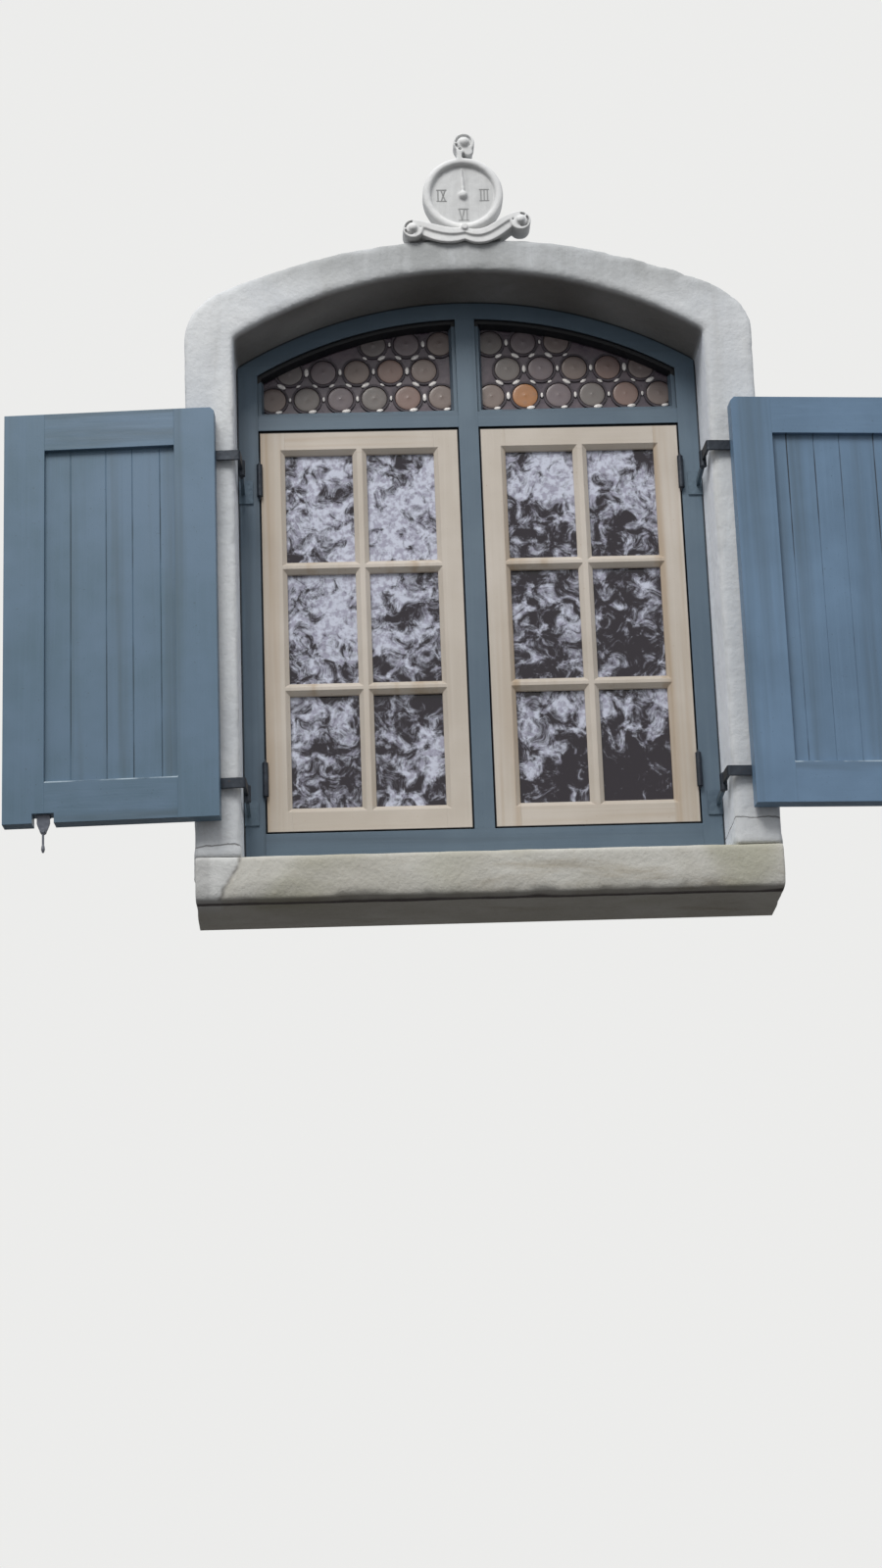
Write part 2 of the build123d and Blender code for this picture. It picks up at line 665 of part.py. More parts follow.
def shutter_boards():
    """Upright boards in the panel, touching, with a vee along each joint."""
    left = SHUTTER_HINGE_EDGE + SHUTTER_STILE_WIDTH - BOARD_GROOVE
    right = SHUTTER_MEETING_EDGE - SHUTTER_STILE_WIDTH + BOARD_GROOVE
    bottom = SHUTTER_BOTTOM_Z + SHUTTER_BOTTOM_RAIL - BOARD_GROOVE
    top = SHUTTER_TOP_Z - SHUTTER_TOP_RAIL + BOARD_GROOVE
    front = SHUTTER_INSIDE - BOARD_RECESS - BOARD_THICKNESS
    back = SHUTTER_INSIDE - BOARD_RECESS
    boards = []
    for start, end in zip(BOARD_JOINTS[:-1], BOARD_JOINTS[1:]):
        x0 = right + (left - right) * start
        x1 = right + (left - right) * end
        board = slab(x1, x0, front, back, bottom, top)
        edges = board.edges().filter_by(Axis.Z)
        boards.append(chamfer(edges, BOARD_VEE))
    return Compound(boards)


def strap(z):
    """A cranked strap: an eye on the pintle, a leg out of the reveal and a let-in tail."""
    face = SHUTTER_OUTSIDE + STRAP_LET_IN - STRAP_THICKNESS
    half = STRAP_THICKNESS / 2
    tail_end = SHUTTER_HINGE_EDGE + STRAP_ON_STILE
    bent = make_face(
        Polyline(
            (PINTLE_X - half, PINTLE_Y),
            (PINTLE_X + half, PINTLE_Y),
            (PINTLE_X + half, face),
            (tail_end, face),
            (tail_end, face + STRAP_THICKNESS),
            (PINTLE_X - half, face + STRAP_THICKNESS),
            close=True,
        ).edges()
    )
    low, high = z - STRAP_HEIGHT / 2, z + STRAP_HEIGHT / 2
    bar = plan_prism(bent, low, high)
    bend = [
        edge
        for edge in bar.edges().filter_by(Axis.Z)
        if abs(edge.center().X - PINTLE_X + half) < 0.1 and edge.center().Y > face
    ]
    bar = fillet(bend, STRAP_THICKNESS)
    tip = bar.edges().filter_by(Axis.Y).group_by(Axis.X)[-1]
    bar = chamfer(tip, STRAP_HEIGHT / 4)
    bar += upright_rod(STRAP_EYE_RADIUS, PINTLE_X, PINTLE_Y, low, high)
    bore = PINTLE_RADIUS + HINGE_RUNNING_CLEARANCE
    return bar - upright_rod(bore, PINTLE_X, PINTLE_Y, low - 1, high + 1)


def strap_screws():
    """Countersunk screws through the straps into the hinge stile."""
    outer_face = SHUTTER_OUTSIDE + STRAP_LET_IN - STRAP_THICKNESS
    neck = outer_face + STRAP_SCREW_HEAD_RADIUS - STRAP_SCREW_RADIUS
    profile = make_face(
        Polyline(
            (0, 0),
            (STRAP_SCREW_HEAD_RADIUS, 0),
            (STRAP_SCREW_RADIUS, neck - outer_face),
            (STRAP_SCREW_RADIUS, STRAP_SCREW_LENGTH - STRAP_SCREW_POINT),
            (0, STRAP_SCREW_LENGTH),
            close=True,
        ).edges()
    )
    screw = Rot(-90, 0, 0) * revolve(Plane.XZ * profile, Axis.Z)
    places = [
        (SHUTTER_HINGE_EDGE + STRAP_SCREW_FIRST + STRAP_SCREW_SPACING * index, outer_face, z)
        for z in STRAP_HEIGHTS
        for index in range(STRAP_SCREWS)
    ]
    return Compound([Pos(*place) * screw for place in places])


def pintle(z):
    """A forged pintle: a plate on the jamb, an arm through the reveal and its pin."""
    top = z - STRAP_HEIGHT / 2 - KNUCKLE_GAP
    bottom = top - PINTLE_ARM_HEIGHT
    middle = (top + bottom) / 2
    plate_left = -HALF_FRAME + FRAME_CLEARANCE
    half_arm = PINTLE_ARM_WIDTH / 2
    plate = slab(
        plate_left,
        plate_left + PINTLE_PLATE_WIDTH,
        -PINTLE_PLATE_THICKNESS,
        0,
        middle - PINTLE_PLATE_HEIGHT / 2,
        middle + PINTLE_PLATE_HEIGHT / 2,
    )
    arm = slab(PINTLE_X - half_arm, PINTLE_X + half_arm, PINTLE_Y, 0, bottom, top)
    boss = upright_rod(STRAP_EYE_RADIUS, PINTLE_X, PINTLE_Y, bottom, top)
    pin_top = z + STRAP_HEIGHT / 2
    pin = upright_rod(PINTLE_RADIUS, PINTLE_X, PINTLE_Y, top, pin_top)
    dome = Pos(PINTLE_X, PINTLE_Y, pin_top) * Sphere(PINTLE_RADIUS)
    return plate + arm + boss + pin + dome


def catch_middle():
    """Place of the catch across the shut shutter."""
    return SHUTTER_MEETING_EDGE - CATCH_FROM_EDGE


def catch_pivot_z():
    return SHUTTER_BOTTOM_Z - CATCH_PLATE_SHANK


def catch_face():
    """The plate's face, a little behind the face that shows when the shutter is open."""
    return SHUTTER_INSIDE - CATCH_PLATE_SETBACK


def catch_plate():
    """A shield in the notch, narrowing to a stud that carries the drop pin."""
    x = catch_middle()
    top = SHUTTER_BOTTOM_Z + NOTCH_HEIGHT
    shoulder = SHUTTER_BOTTOM_Z + CATCH_SHOULDER
    pivot = catch_pivot_z()
    half = CATCH_PLATE_WIDTH / 2
    narrow = CATCH_EYE_RADIUS
    right_side = ThreePointArc(
        (x + half, shoulder),
        (x + half * CATCH_WAIST_SHARE, pivot + CATCH_WAIST_RISE),
        (x + narrow, pivot),
    )
    tip = ThreePointArc((x + narrow, pivot), (x, pivot - narrow), (x - narrow, pivot))
    left_side = ThreePointArc(
        (x - narrow, pivot),
        (x - half * CATCH_WAIST_SHARE, pivot + CATCH_WAIST_RISE),
        (x - half, shoulder),
    )
    head = Polyline((x - half, shoulder), (x - half, top), (x + half, top), (x + half, shoulder))
    outline = make_face([*right_side.edges(), *tip.edges(), *left_side.edges(), *head.edges()])
    face = catch_face()
    plate = prism(outline, face - CATCH_PLATE_THICKNESS, face)
    foot = slab(
        x - half, x + half, face - CATCH_FOOT_DEPTH, face, top - CATCH_PLATE_THICKNESS, top
    )
    stud_end = face + CATCH_PLATE_THICKNESS + 2 * KNUCKLE_GAP
    stud = cross_rod(CATCH_STUD_RADIUS, x, pivot, face, stud_end)
    lip_radius = CATCH_STUD_RADIUS + CATCH_RIVET_LIP
    rivet = cross_rod(lip_radius, x, pivot, stud_end, stud_end + CATCH_RIVET_LIP)
    return plate + foot + stud + rivet


def drop_pin():
    """The hanging pin: an eye on the stud, a thin rod and a turned tip."""
    x = catch_middle()
    pivot = catch_pivot_z()
    front = catch_face() + KNUCKLE_GAP
    back = front + CATCH_PLATE_THICKNESS
    middle = (front + back) / 2
    end = pivot - CATCH_PIN_LENGTH
    eye = cross_rod(CATCH_EYE_RADIUS, x, pivot, front, back)
    rod = upright_rod(CATCH_PIN_RADIUS, x, middle, end + CATCH_TIP_RADIUS, pivot)
    turned = [
        (CATCH_TIP_RADIUS * radius_share, CATCH_TIP_HEIGHT * height_share)
        for radius_share, height_share in CATCH_TIP_PROFILE
    ]
    profile = make_face(
        Polyline(
            (0, 0),
            *turned,
            (CATCH_PIN_RADIUS, CATCH_TIP_HEIGHT),
            (0, CATCH_TIP_HEIGHT),
            close=True,
        ).edges()
    )
    tip = Pos(x, middle, end) * revolve(Plane.XZ * profile, Axis.Z)
    bore = CATCH_STUD_RADIUS + HINGE_RUNNING_CLEARANCE
    return eye + rod + tip - cross_rod(bore, x, pivot, front - 1, back + 1)


def shutter():
    """The left shutter and its ironwork, drawn shut."""
    left, right = SHUTTER_HINGE_EDGE, SHUTTER_MEETING_EDGE
    bottom, top = SHUTTER_BOTTOM_Z, SHUTTER_TOP_Z
    front, back = SHUTTER_OUTSIDE, SHUTTER_INSIDE
    inner_left = left + SHUTTER_STILE_WIDTH
    inner_right = right - SHUTTER_STILE_WIDTH
    boards = shutter_boards()
    straps = Compound([strap(z) for z in STRAP_HEIGHTS])
    screws = strap_screws()
    hinge_stile = slab(left, inner_left, front, back, bottom, top)
    corner = hinge_stile.edges().filter_by(Axis.Y).group_by(Axis.Z)[-1].sort_by(Axis.X)[0]
    hinge_stile = chamfer(corner, SHUTTER_CORNER_BEVEL)
    x = catch_middle()
    notch = slab(
        x - NOTCH_WIDTH / 2, x + NOTCH_WIDTH / 2, front - 1, back + 1, bottom - 1, bottom + NOTCH_HEIGHT
    )
    rail_top = bottom + SHUTTER_BOTTOM_RAIL
    rail_bottom = top - SHUTTER_TOP_RAIL
    bottom_rail = slab(inner_left, inner_right, front, back, bottom, rail_top)
    top_rail = slab(inner_left, inner_right, front, back, rail_bottom, top)
    return {
        "hinge_stile": hinge_stile - boards - straps - screws,
        "meeting_stile": slab(inner_right, right, front, back, bottom, top) - boards - notch,
        "bottom_rail": bottom_rail - boards - notch,
        "top_rail": top_rail - boards,
        "boards": boards,
        "straps": straps - screws,
        "strap_screws": screws,
        "catch_plate": catch_plate(),
        "drop_pin": drop_pin(),
    }


def dial_profile():
    """Half section of the clock's ring, dial and boss, from its middle outwards."""
    inside = CLOCK_RADIUS - CLOCK_RING_WIDTH
    dial = CLOCK_DEPTH - DIAL_RECESS
    bead_foot = CLOCK_DEPTH - CLOCK_RING_WIDTH / 2
    boss_foot = dial + CLOCK_BOSS_STEP
    boss_top = boss_foot + CLOCK_BOSS_HEIGHT
    flat = Polyline(
        (inside, bead_foot),
        (inside, dial),
        (CLOCK_BOSS_RADIUS, dial),
        (CLOCK_BOSS_RADIUS, boss_foot),
    )
    boss = ThreePointArc(
        (CLOCK_BOSS_RADIUS, boss_foot),
        (CLOCK_BOSS_RADIUS * sqrt(0.5), boss_foot + CLOCK_BOSS_HEIGHT * sqrt(0.5)),
        (0, boss_top),
    )
    rest = Polyline(
        (0, boss_top),
        (0, 0),
        (CLOCK_RADIUS, 0),
        (CLOCK_RADIUS, bead_foot),
    )
    bead = ThreePointArc(
        (CLOCK_RADIUS, bead_foot),
        (CLOCK_RADIUS - CLOCK_RING_WIDTH / 2, CLOCK_DEPTH),
        (inside, bead_foot),
    )
    return make_face([*flat.edges(), *boss.edges(), *rest.edges(), *bead.edges()])


def clock_hand():
    """The upright hand, a long leaf on the dial."""
    half = CLOCK_HAND_WIDTH / 2
    tail = CLOCK_Z - CLOCK_BOSS_RADIUS
    tip = CLOCK_Z + CLOCK_HAND_LENGTH
    shoulder = CLOCK_Z + CLOCK_HAND_SHOULDER
    leaf = make_face(
        Polyline((0, tail), (half, shoulder), (0, tip), (-half, shoulder), close=True).edges()
    )
    return prism(leaf, DIAL_FACE - CLOCK_HAND_THICKNESS, DIAL_FACE)


def numeral_strokes(text):
    """Strokes of a Roman numeral between two serif lines, centred on its place."""
    total = sum(NUMERAL_WIDTHS[letter] for letter in text)
    slant = degrees(atan(NUMERAL_HEIGHT / NUMERAL_LEAN))
    strokes = []
    x = -total / 2
    for letter in text:
        middle = x + NUMERAL_WIDTHS[letter] / 2
        if letter == "I":
            strokes.append(Pos(middle, 0) * Rectangle(NUMERAL_STROKE, NUMERAL_HEIGHT))
        else:
            apart = NUMERAL_SPREAD if letter == "V" else 0
            for side in (-1, 1):
                leg = Rot(0, 0, side * slant) * Rectangle(NUMERAL_HEIGHT, NUMERAL_STROKE)
                strokes.append(Pos(middle + side * apart, 0) * leg)
        x += NUMERAL_WIDTHS[letter]
    for end in (-1, 1):
        serif = Rectangle(total, SERIF_STROKE)
        strokes.append(Pos(0, end * NUMERAL_HEIGHT / 2) * serif)
    return strokes


def dial_numerals():
    """Three, six and nine, sunk into the dial."""
    places = (("III", NUMERAL_REACH, 0), ("VI", 0, -NUMERAL_REACH), ("IX", -NUMERAL_REACH, 0))
    cuts = []
    for text, x, z in places:
        for stroke in numeral_strokes(text):
            placed = Pos(x, CLOCK_Z + z) * stroke
            cuts.append(prism(placed, DIAL_FACE - 1, DIAL_FACE + NUMERAL_DEPTH))
    return cuts


def scroll_arm(volute_x, volute_z, share):
    """A ribbon from the middle out to the top of its volute, or its upper share alone."""
    side = 1 if volute_x > 0 else -1
    reach = abs(volute_x)
    top_z = SCROLL_TOP_Z
    low_z = top_z - SCROLL_HEIGHT
    coil_top = volute_z + VOLUTE_RADIUS
    rise_x = [side * (reach - VOLUTE_RADIUS * back) for back in SCROLL_RISE_FROM]
    upper = (
        (0, top_z),
        (side * reach * SCROLL_SAG_AT, top_z + SCROLL_SAG),
        (rise_x[0], coil_top - VOLUTE_RADIUS * SCROLL_RISE_DROP[0]),
        (volute_x, coil_top),
    )
    lower = (
        (0, low_z),
        (side * reach * SCROLL_SAG_AT, low_z - SCROLL_SAG),
        (rise_x[1], volute_z - VOLUTE_RADIUS * SCROLL_RISE_DROP[1]),
        (volute_x, volute_z),
    )
    mixed = [
        (high[0] + (low[0] - high[0]) * share, high[1] + (low[1] - high[1]) * share)
        for high, low in zip(upper, lower)
    ]
    edges = [
        Spline(*mixed),
        Line(mixed[-1], upper[-1]),
        Spline(*reversed(upper)),
        Line(upper[0], mixed[0]),
    ]
    return make_face([part for line in edges for part in line.edges()])


def rounded_front(block):
    """The block with the two longest edges of its front face rounded over."""
    front_edges = block.faces().sort_by(Axis.Y)[0].edges()
    return fillet(front_edges.sort_by(SortBy.LENGTH)[-2:], SCROLL_ROUND)


def coil_groove(radius):
    """A spiral of two half circles that starts at the right and turns over the top."""
    first, second = [radius * share for share in COIL_TURN_SHARES]
    over = CenterArc((0, 0), first, 0, 180)
    under = CenterArc((second - first, 0), second, 180, 180)
    return trace(Wire([*over.edges(), *under.edges()]), radius * COIL_GROOVE_SHARE)


def volute(x, z, radius, front, turn, flipped):
    """A coil seen end on, with its groove turned to where the ribbon comes in."""
    coil = rounded_front(cross_rod(radius, x, z, front, WALL_FACE))
    groove = coil_groove(radius)
    if flipped:
        groove = mirror(groove, about=Plane.YZ)
    placed = Pos(x, z) * Rot(0, 0, turn) * groove
    eye_radius = radius * COIL_EYE_SHARE
    eye = Pos(x, front, z) * Rot(90, 0, 0) * Sphere(eye_radius)
    return coil - prism(placed, front - 1, front + COIL_GROOVE_DEPTH) + eye


def crook_neck():
    """The stem of the crook, from the top of the ring into the left side of its coil."""
    foot_z = CLOCK_Z + CLOCK_RADIUS - CLOCK_RING_WIDTH
    half = CROOK_NECK_WIDTH / 2
    waist_z = (foot_z + CROOK_Z) / 2
    foot_left = CROOK_FOOT_X - half
    foot_right = CROOK_FOOT_X + half
    coil_left = CROOK_X - CROOK_RADIUS
    left = ThreePointArc(
        (foot_left, foot_z), (CROOK_FOOT_X - half / 2, waist_z), (coil_left, CROOK_Z)
    )
    top = Line((coil_left, CROOK_Z), (CROOK_X, CROOK_Z))
    right = ThreePointArc((CROOK_X, CROOK_Z), (foot_right, waist_z), (foot_right, foot_z))
    base = Line((foot_right, foot_z), (foot_left, foot_z))
    return make_face([*left.edges(), *top.edges(), *right.edges(), *base.edges()])


def crook():
    """The curled end over the ring: a coil on its neck, with the bead under it."""
    front = WALL_FACE - CLOCK_DEPTH
    inner_radius = CROOK_RADIUS - SCROLL_ROUND
    coil_space = cross_rod(inner_radius, CROOK_X, CROOK_Z, front - 1, WALL_FACE)
    neck = prism(crook_neck(), front, WALL_FACE)
    bead_z = CROOK_Z - CROOK_BEAD_DROP
    bead = rounded_front(cross_rod(CROOK_BEAD_RADIUS, CROOK_BEAD_X, bead_z, front, WALL_FACE))
    coil = volute(CROOK_X, CROOK_Z, CROOK_RADIUS, front, CROOK_TURN, True)
    return neck - coil_space + (bead - coil_space) + coil


def clock_ornament(band):
    """One casting: a clock ring between a base scroll and a crook, let over the crown."""
    dial_plane = Plane(origin=(0, WALL_FACE, CLOCK_Z), x_dir=(1, 0, 0), z_dir=(0, 0, -1))
    casting = revolve(dial_plane * dial_profile(), Axis((0, WALL_FACE, CLOCK_Z), (0, 1, 0)))
    arm_front = SURROUND_FRONT - SCROLL_PROUD
    volute_front = arm_front - VOLUTE_PROUD
    ring_middle = CLOCK_RADIUS - CLOCK_RING_WIDTH / 2
    dial_space = cross_rod(ring_middle, 0, CLOCK_Z, volute_front - 1, WALL_FACE)
    casting += crook() - dial_space
    for cut in dial_numerals():
        casting -= cut
    casting += clock_hand()
    ends = (
        (LEFT_VOLUTE_X, LEFT_VOLUTE_Z, False),
        (RIGHT_VOLUTE_X, RIGHT_VOLUTE_Z, True),
    )
    for x, z, flipped in ends:
        arm = rounded_front(prism(scroll_arm(x, z, 1.0), arm_front, WALL_FACE))
        ridge_outline = scroll_arm(x, z, SCROLL_RIDGE_SHARE)
        ridge = rounded_front(prism(ridge_outline, volute_front, arm_front + SCROLL_ROUND))
        casting += arm + ridge - dial_space
        casting += volute(x, z, VOLUTE_RADIUS, volute_front, 0, flipped)
    bud_front = volute_front - VOLUTE_PROUD
    bud = rounded_front(cross_rod(BUD_RADIUS, 0, SCROLL_TOP_Z, bud_front, WALL_FACE))
    casting += bud - dial_space
    return casting - band


def mirrored(shape):
    """The same piece on the right-hand side."""
    return mirror(shape, about=Plane.YZ)


def left_side_nodes(jamb, transom):
    """Every piece that the left and right sides share, on the left."""
    frame_leaves, sash_leaves, pins = casement_hinges()
    glass_back = REBATE_DEPTH
    lead_back = glass_back - LIGHT_GLASS
    nodes = {
        "frame_jamb": jamb - frame_leaves,
        "frame_transom": transom,
        "light_glass": prism(light_outline(LIGHT_CLEARANCE), lead_back, glass_back),
        "light_leads": light_leads(lead_back),
        "light_beads": light_beads(lead_back - CAME_DEPTH),
        "casement_hinge_frame_leaves": frame_leaves,
        "casement_hinge_sash_leaves": sash_leaves,
        "casement_hinge_pins": pins,
        "casement_handle_plate": handle_plate(),
        "casement_handle": casement_handle(),
        "shutter_pintles": Compound([pintle(z) for z in STRAP_HEIGHTS]),
    }
    for name, member in casement().items():
        nodes["casement_" + name] = member
    nodes["casement_hinge_stile"] -= sash_leaves
    for name, member in shutter().items():
        nodes["shutter_" + name] = open_shutter(member)
    return nodes


def all_nodes():
    sill_block = sill()
    band = surround(sill_block)
    jamb = frame_jamb()
    jambs = jamb + mirrored(jamb)
    head = frame_head()
    rail = frame_rail(jambs)
    mullion = frame_mullion(rail, head)
    transom = frame_transom(jamb + mullion)
    nodes = {
        "sill": sill_block,
        "surround": band,
        "clock_ornament": clock_ornament(band),
        "frame_head": head,
        "frame_bottom_rail": rail,
        "frame_mullion": mullion,
    }
    for name, shape in left_side_nodes(jamb, transom).items():
        nodes["left_" + name] = shape
        nodes["right_" + name] = mirrored(shape)
    return nodes


for node, solid in all_nodes().items():
    export_step(solid, f"parts/{node}.step")
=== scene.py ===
# %% [markdown]
# # A shuttered window
# This notebook dresses a window with a rendered surround, two casements, two leaded
# lights, boarded shutters and a small clock ornament. The wood, glass and iron come
# from the construction model and only get their finish here. What a hand or the
# weather has shaped, such as plaster, stone and the casting, gets a mesh of its own.

# %% Load the construction model
import math

import bmesh
import bpy
import numpy as np
from mathutils import Matrix, Vector, noise


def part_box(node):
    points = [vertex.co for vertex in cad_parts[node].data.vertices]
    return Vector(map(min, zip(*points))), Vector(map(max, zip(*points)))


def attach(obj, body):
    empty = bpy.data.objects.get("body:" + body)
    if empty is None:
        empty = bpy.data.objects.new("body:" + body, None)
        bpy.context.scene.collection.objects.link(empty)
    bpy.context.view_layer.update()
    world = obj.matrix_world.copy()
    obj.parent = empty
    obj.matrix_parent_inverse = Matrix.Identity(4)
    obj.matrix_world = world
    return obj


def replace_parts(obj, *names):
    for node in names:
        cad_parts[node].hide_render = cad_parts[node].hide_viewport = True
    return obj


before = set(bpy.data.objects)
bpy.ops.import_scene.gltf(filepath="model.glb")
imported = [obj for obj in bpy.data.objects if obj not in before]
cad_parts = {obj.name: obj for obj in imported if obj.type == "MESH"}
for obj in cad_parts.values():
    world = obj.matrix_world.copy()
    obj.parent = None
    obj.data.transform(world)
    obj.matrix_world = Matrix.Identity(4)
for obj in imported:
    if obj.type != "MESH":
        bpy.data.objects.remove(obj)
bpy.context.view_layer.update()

# %% [markdown]
# ## The camera first
# The window is seen from the street, from below and nearly straight on. A camera can
# be placed by eye, but upright lines then rarely lean as they should. Here its place,
# its turn and its focal length were solved from the corners of the real window, so
# the same corners fall on the same spots of the picture.

# %% Camera
CAMERA_PLACE = (-0.381, -7.024, -1.846)
CAMERA_PITCH = math.radians(17.13)
CAMERA_YAW = math.radians(2.30)
CAMERA_ROLL = math.radians(-2.10)
FOCAL_IN_IMAGE_HEIGHTS = 2.0
SENSOR_MM = 36

forward = Vector((
    math.sin(CAMERA_YAW) * math.cos(CAMERA_PITCH),
    math.cos(CAMERA_YAW) * math.cos(CAMERA_PITCH),
    math.sin(CAMERA_PITCH),
))
level_right = Vector((math.cos(CAMERA_YAW), -math.sin(CAMERA_YAW), 0))
level_up = level_right.cross(forward)
right = level_right * math.cos(CAMERA_ROLL) + level_up * math.sin(CAMERA_ROLL)
up = right.cross(forward)
camera = bpy.data.objects.new("camera", bpy.data.cameras.new("camera"))
bpy.context.scene.collection.objects.link(camera)
camera.matrix_world = Matrix((
    (right.x, up.x, -forward.x, CAMERA_PLACE[0]),
    (right.y, up.y, -forward.y, CAMERA_PLACE[1]),
    (right.z, up.z, -forward.z, CAMERA_PLACE[2]),
    (0, 0, 0, 1),
))
camera.data.sensor_width = SENSOR_MM
camera.data.lens = SENSOR_MM * FOCAL_IN_IMAGE_HEIGHTS
camera.data.clip_end = 100
bpy.context.scene.camera = camera
print("camera looks up by", round(math.degrees(CAMERA_PITCH), 1), "degrees")

# %% [markdown]
# ## A little paint box
# Colours are easier to mix as the 0 to 255 numbers that a colour picker gives, but
# shaders work in linear light. One helper turns the first into the second. The others
# save typing when a node tree is wired up: add_node makes a node and feeds its inputs,
# and start_material gives a material that has only a Principled shader.

# %% Helpers for colours and node trees
def linear(red, green, blue):
    def one(value):
        share = value / 255
        return share / 12.92 if share <= 0.04045 else ((share + 0.055) / 1.055) ** 2.4
    return (one(red), one(green), one(blue), 1.0)


def feed(tree, socket, value):
    """Links another node's output to a socket, or sets a plain value."""
    if isinstance(value, bpy.types.NodeSocket):
        tree.links.new(value, socket)
    else:
        socket.default_value = value


def add_node(tree, kind, inputs=None, **settings):
    node = tree.nodes.new(kind)
    for name, value in settings.items():
        setattr(node, name, value)
    for name, value in (inputs or {}).items():
        feed(tree, node.inputs[name], value)
    return node


def mix_colours(tree, factor, first, second):
    return add_node(tree, "ShaderNodeMix", {0: factor, 6: first, 7: second}, data_type="RGBA").outputs[2]


def calculate(tree, operation, first, second=0.0, third=0.0, clamp=False):
    node = add_node(tree, "ShaderNodeMath", {0: first, 1: second, 2: third},
                    operation=operation, use_clamp=clamp)
    return node.outputs[0]


def times(tree, first, second):
    return calculate(tree, "MULTIPLY", first, second)


def times_plus(tree, first, second, more):
    return calculate(tree, "MULTIPLY_ADD", first, second, more)


def one_minus(tree, value):
    return calculate(tree, "SUBTRACT", 1.0, value)


def apart(tree, first, second):
    return calculate(tree, "ABSOLUTE", calculate(tree, "SUBTRACT", first, second))


def own_place(tree):
    """Where a point lies on the window, in metres."""
    return tree.nodes.new("ShaderNodeTexCoord").outputs["Object"]


def axes_of(tree, vector):
    return add_node(tree, "ShaderNodeSeparateXYZ", {"Vector": vector}).outputs


def scaled(tree, vector, scale):
    return add_node(tree, "ShaderNodeMapping", {"Vector": vector, "Scale": scale}).outputs["Vector"]


def between(tree, value, low, high):
    """A mask that goes from 0 at low to 1 at high."""
    node = add_node(tree, "ShaderNodeMapRange", {"Value": value, "From Min": low, "From Max": high})
    node.interpolation_type = "SMOOTHSTEP"
    return node.outputs["Result"]


def noise_at(tree, vector, scale, detail=3.0, roughness=0.5, distortion=0.0):
    node = add_node(tree, "ShaderNodeTexNoise", {
        "Vector": vector, "Scale": scale, "Detail": detail,
        "Roughness": roughness, "Distortion": distortion,
    })
    return node.outputs["Fac"]


def start_group(name, inputs, outputs, kind_of_tree="ShaderNodeTree"):
    """A node group, with the name and the kind of every socket."""
    tree = bpy.data.node_groups.new(name, kind_of_tree)
    for in_out, sockets in (("INPUT", inputs), ("OUTPUT", outputs)):
        for label, kind in sockets.items():
            tree.interface.new_socket(label, in_out=in_out, socket_type="NodeSocket" + kind)
    entry = tree.nodes.new("NodeGroupInput")
    leave = tree.nodes.new("NodeGroupOutput")
    return tree, entry.outputs, leave.inputs


def start_material(name, **sockets):
    """A material with one Principled shader, whose plain values are set here."""
    material = bpy.data.materials.new(name)
    material.use_nodes = True
    tree = material.node_tree
    tree.nodes.clear()
    shader = tree.nodes.new("ShaderNodeBsdfPrincipled")
    output = tree.nodes.new("ShaderNodeOutputMaterial")
    tree.links.new(shader.outputs["BSDF"], output.inputs["Surface"])
    for label, value in sockets.items():
        shader.inputs[label.replace("_", " ")].default_value = value
    return material, tree, shader


def place_group(tree, group, **inputs):
    node = tree.nodes.new("ShaderNodeGroup")
    node.node_tree = group
    for label, value in inputs.items():
        feed(tree, node.inputs[label.replace("_", " ")], value)
    return node.outputs


def wire(tree, shader, colour, roughness, height, depth, normal=None):
    """Feeds colour, roughness and a bump of the given depth in metres."""
    tree.links.new(colour, shader.inputs["Base Color"])
    tree.links.new(roughness, shader.inputs["Roughness"])
    bump = add_node(tree, "ShaderNodeBump", {"Height": height, "Distance": depth, "Strength": 1.0})
    if normal is not None:
        tree.links.new(normal, bump.inputs["Normal"])
    tree.links.new(bump.outputs["Normal"], shader.inputs["Normal"])


print("paint box ready")

# %% [markdown]
# ## Brushed paint
# Shutters, frame and casements carry the same kind of oil paint: brush marks along
# each piece of wood, a slow drift in colour where rain and sun reach it, and dust in
# the marks. A single noise would look like marble. Noise that is squeezed across the
# grain and stretched along it looks like a brush, so the group takes coordinates that
# the material has already stretched.

# %% Node group: brushed paint
SKIN = {"Colour": "Color", "Roughness": "Float", "Height": "Float"}
tree, enter, leave = start_group("brushed paint", {
    "Vector": "Vector", "Along Grain": "Vector", "Paint": "Color", "Faded": "Color",
    "Grime": "Color", "Grime Amount": "Float",
}, SKIN)
drift = noise_at(tree, enter["Vector"], 2.6, 4.0, 0.6)
strokes = noise_at(tree, enter["Along Grain"], 1.0, 5.0, 0.62, 0.25)
specks = noise_at(tree, enter["Vector"], 170.0, 2.0)
smears = noise_at(tree, enter["Along Grain"], 0.22, 3.0, 0.6)
colour = mix_colours(tree, between(tree, drift, 0.38, 0.68), enter["Paint"], enter["Faded"])
stroke_share = times(tree, between(tree, strokes, 0.45, 0.75), 0.45)
colour = mix_colours(tree, stroke_share, colour, enter["Faded"])
dirt = times(tree, between(tree, specks, 0.66, 0.80), enter["Grime Amount"])
smear = times(tree, between(tree, smears, 0.5, 0.76), enter["Grime Amount"])
colour = mix_colours(tree, calculate(tree, "MAXIMUM", dirt, smear), colour, enter["Grime"])
tree.links.new(colour, leave["Colour"])
tree.links.new(times_plus(tree, strokes, 0.22, 0.36), leave["Roughness"])
tall = times_plus(tree, specks, 0.25, strokes)
tree.links.new(tall, leave["Height"])
brushed_paint = tree
print("group:", brushed_paint.name)

# %% [markdown]
# Each board or rail needs its own stretch direction. One function makes a paint
# material for upright pieces and one for level pieces. Painted arrises are never razor
# sharp, and the construction model's are, so a Bevel node rounds them for the light
# alone, which costs no geometry.

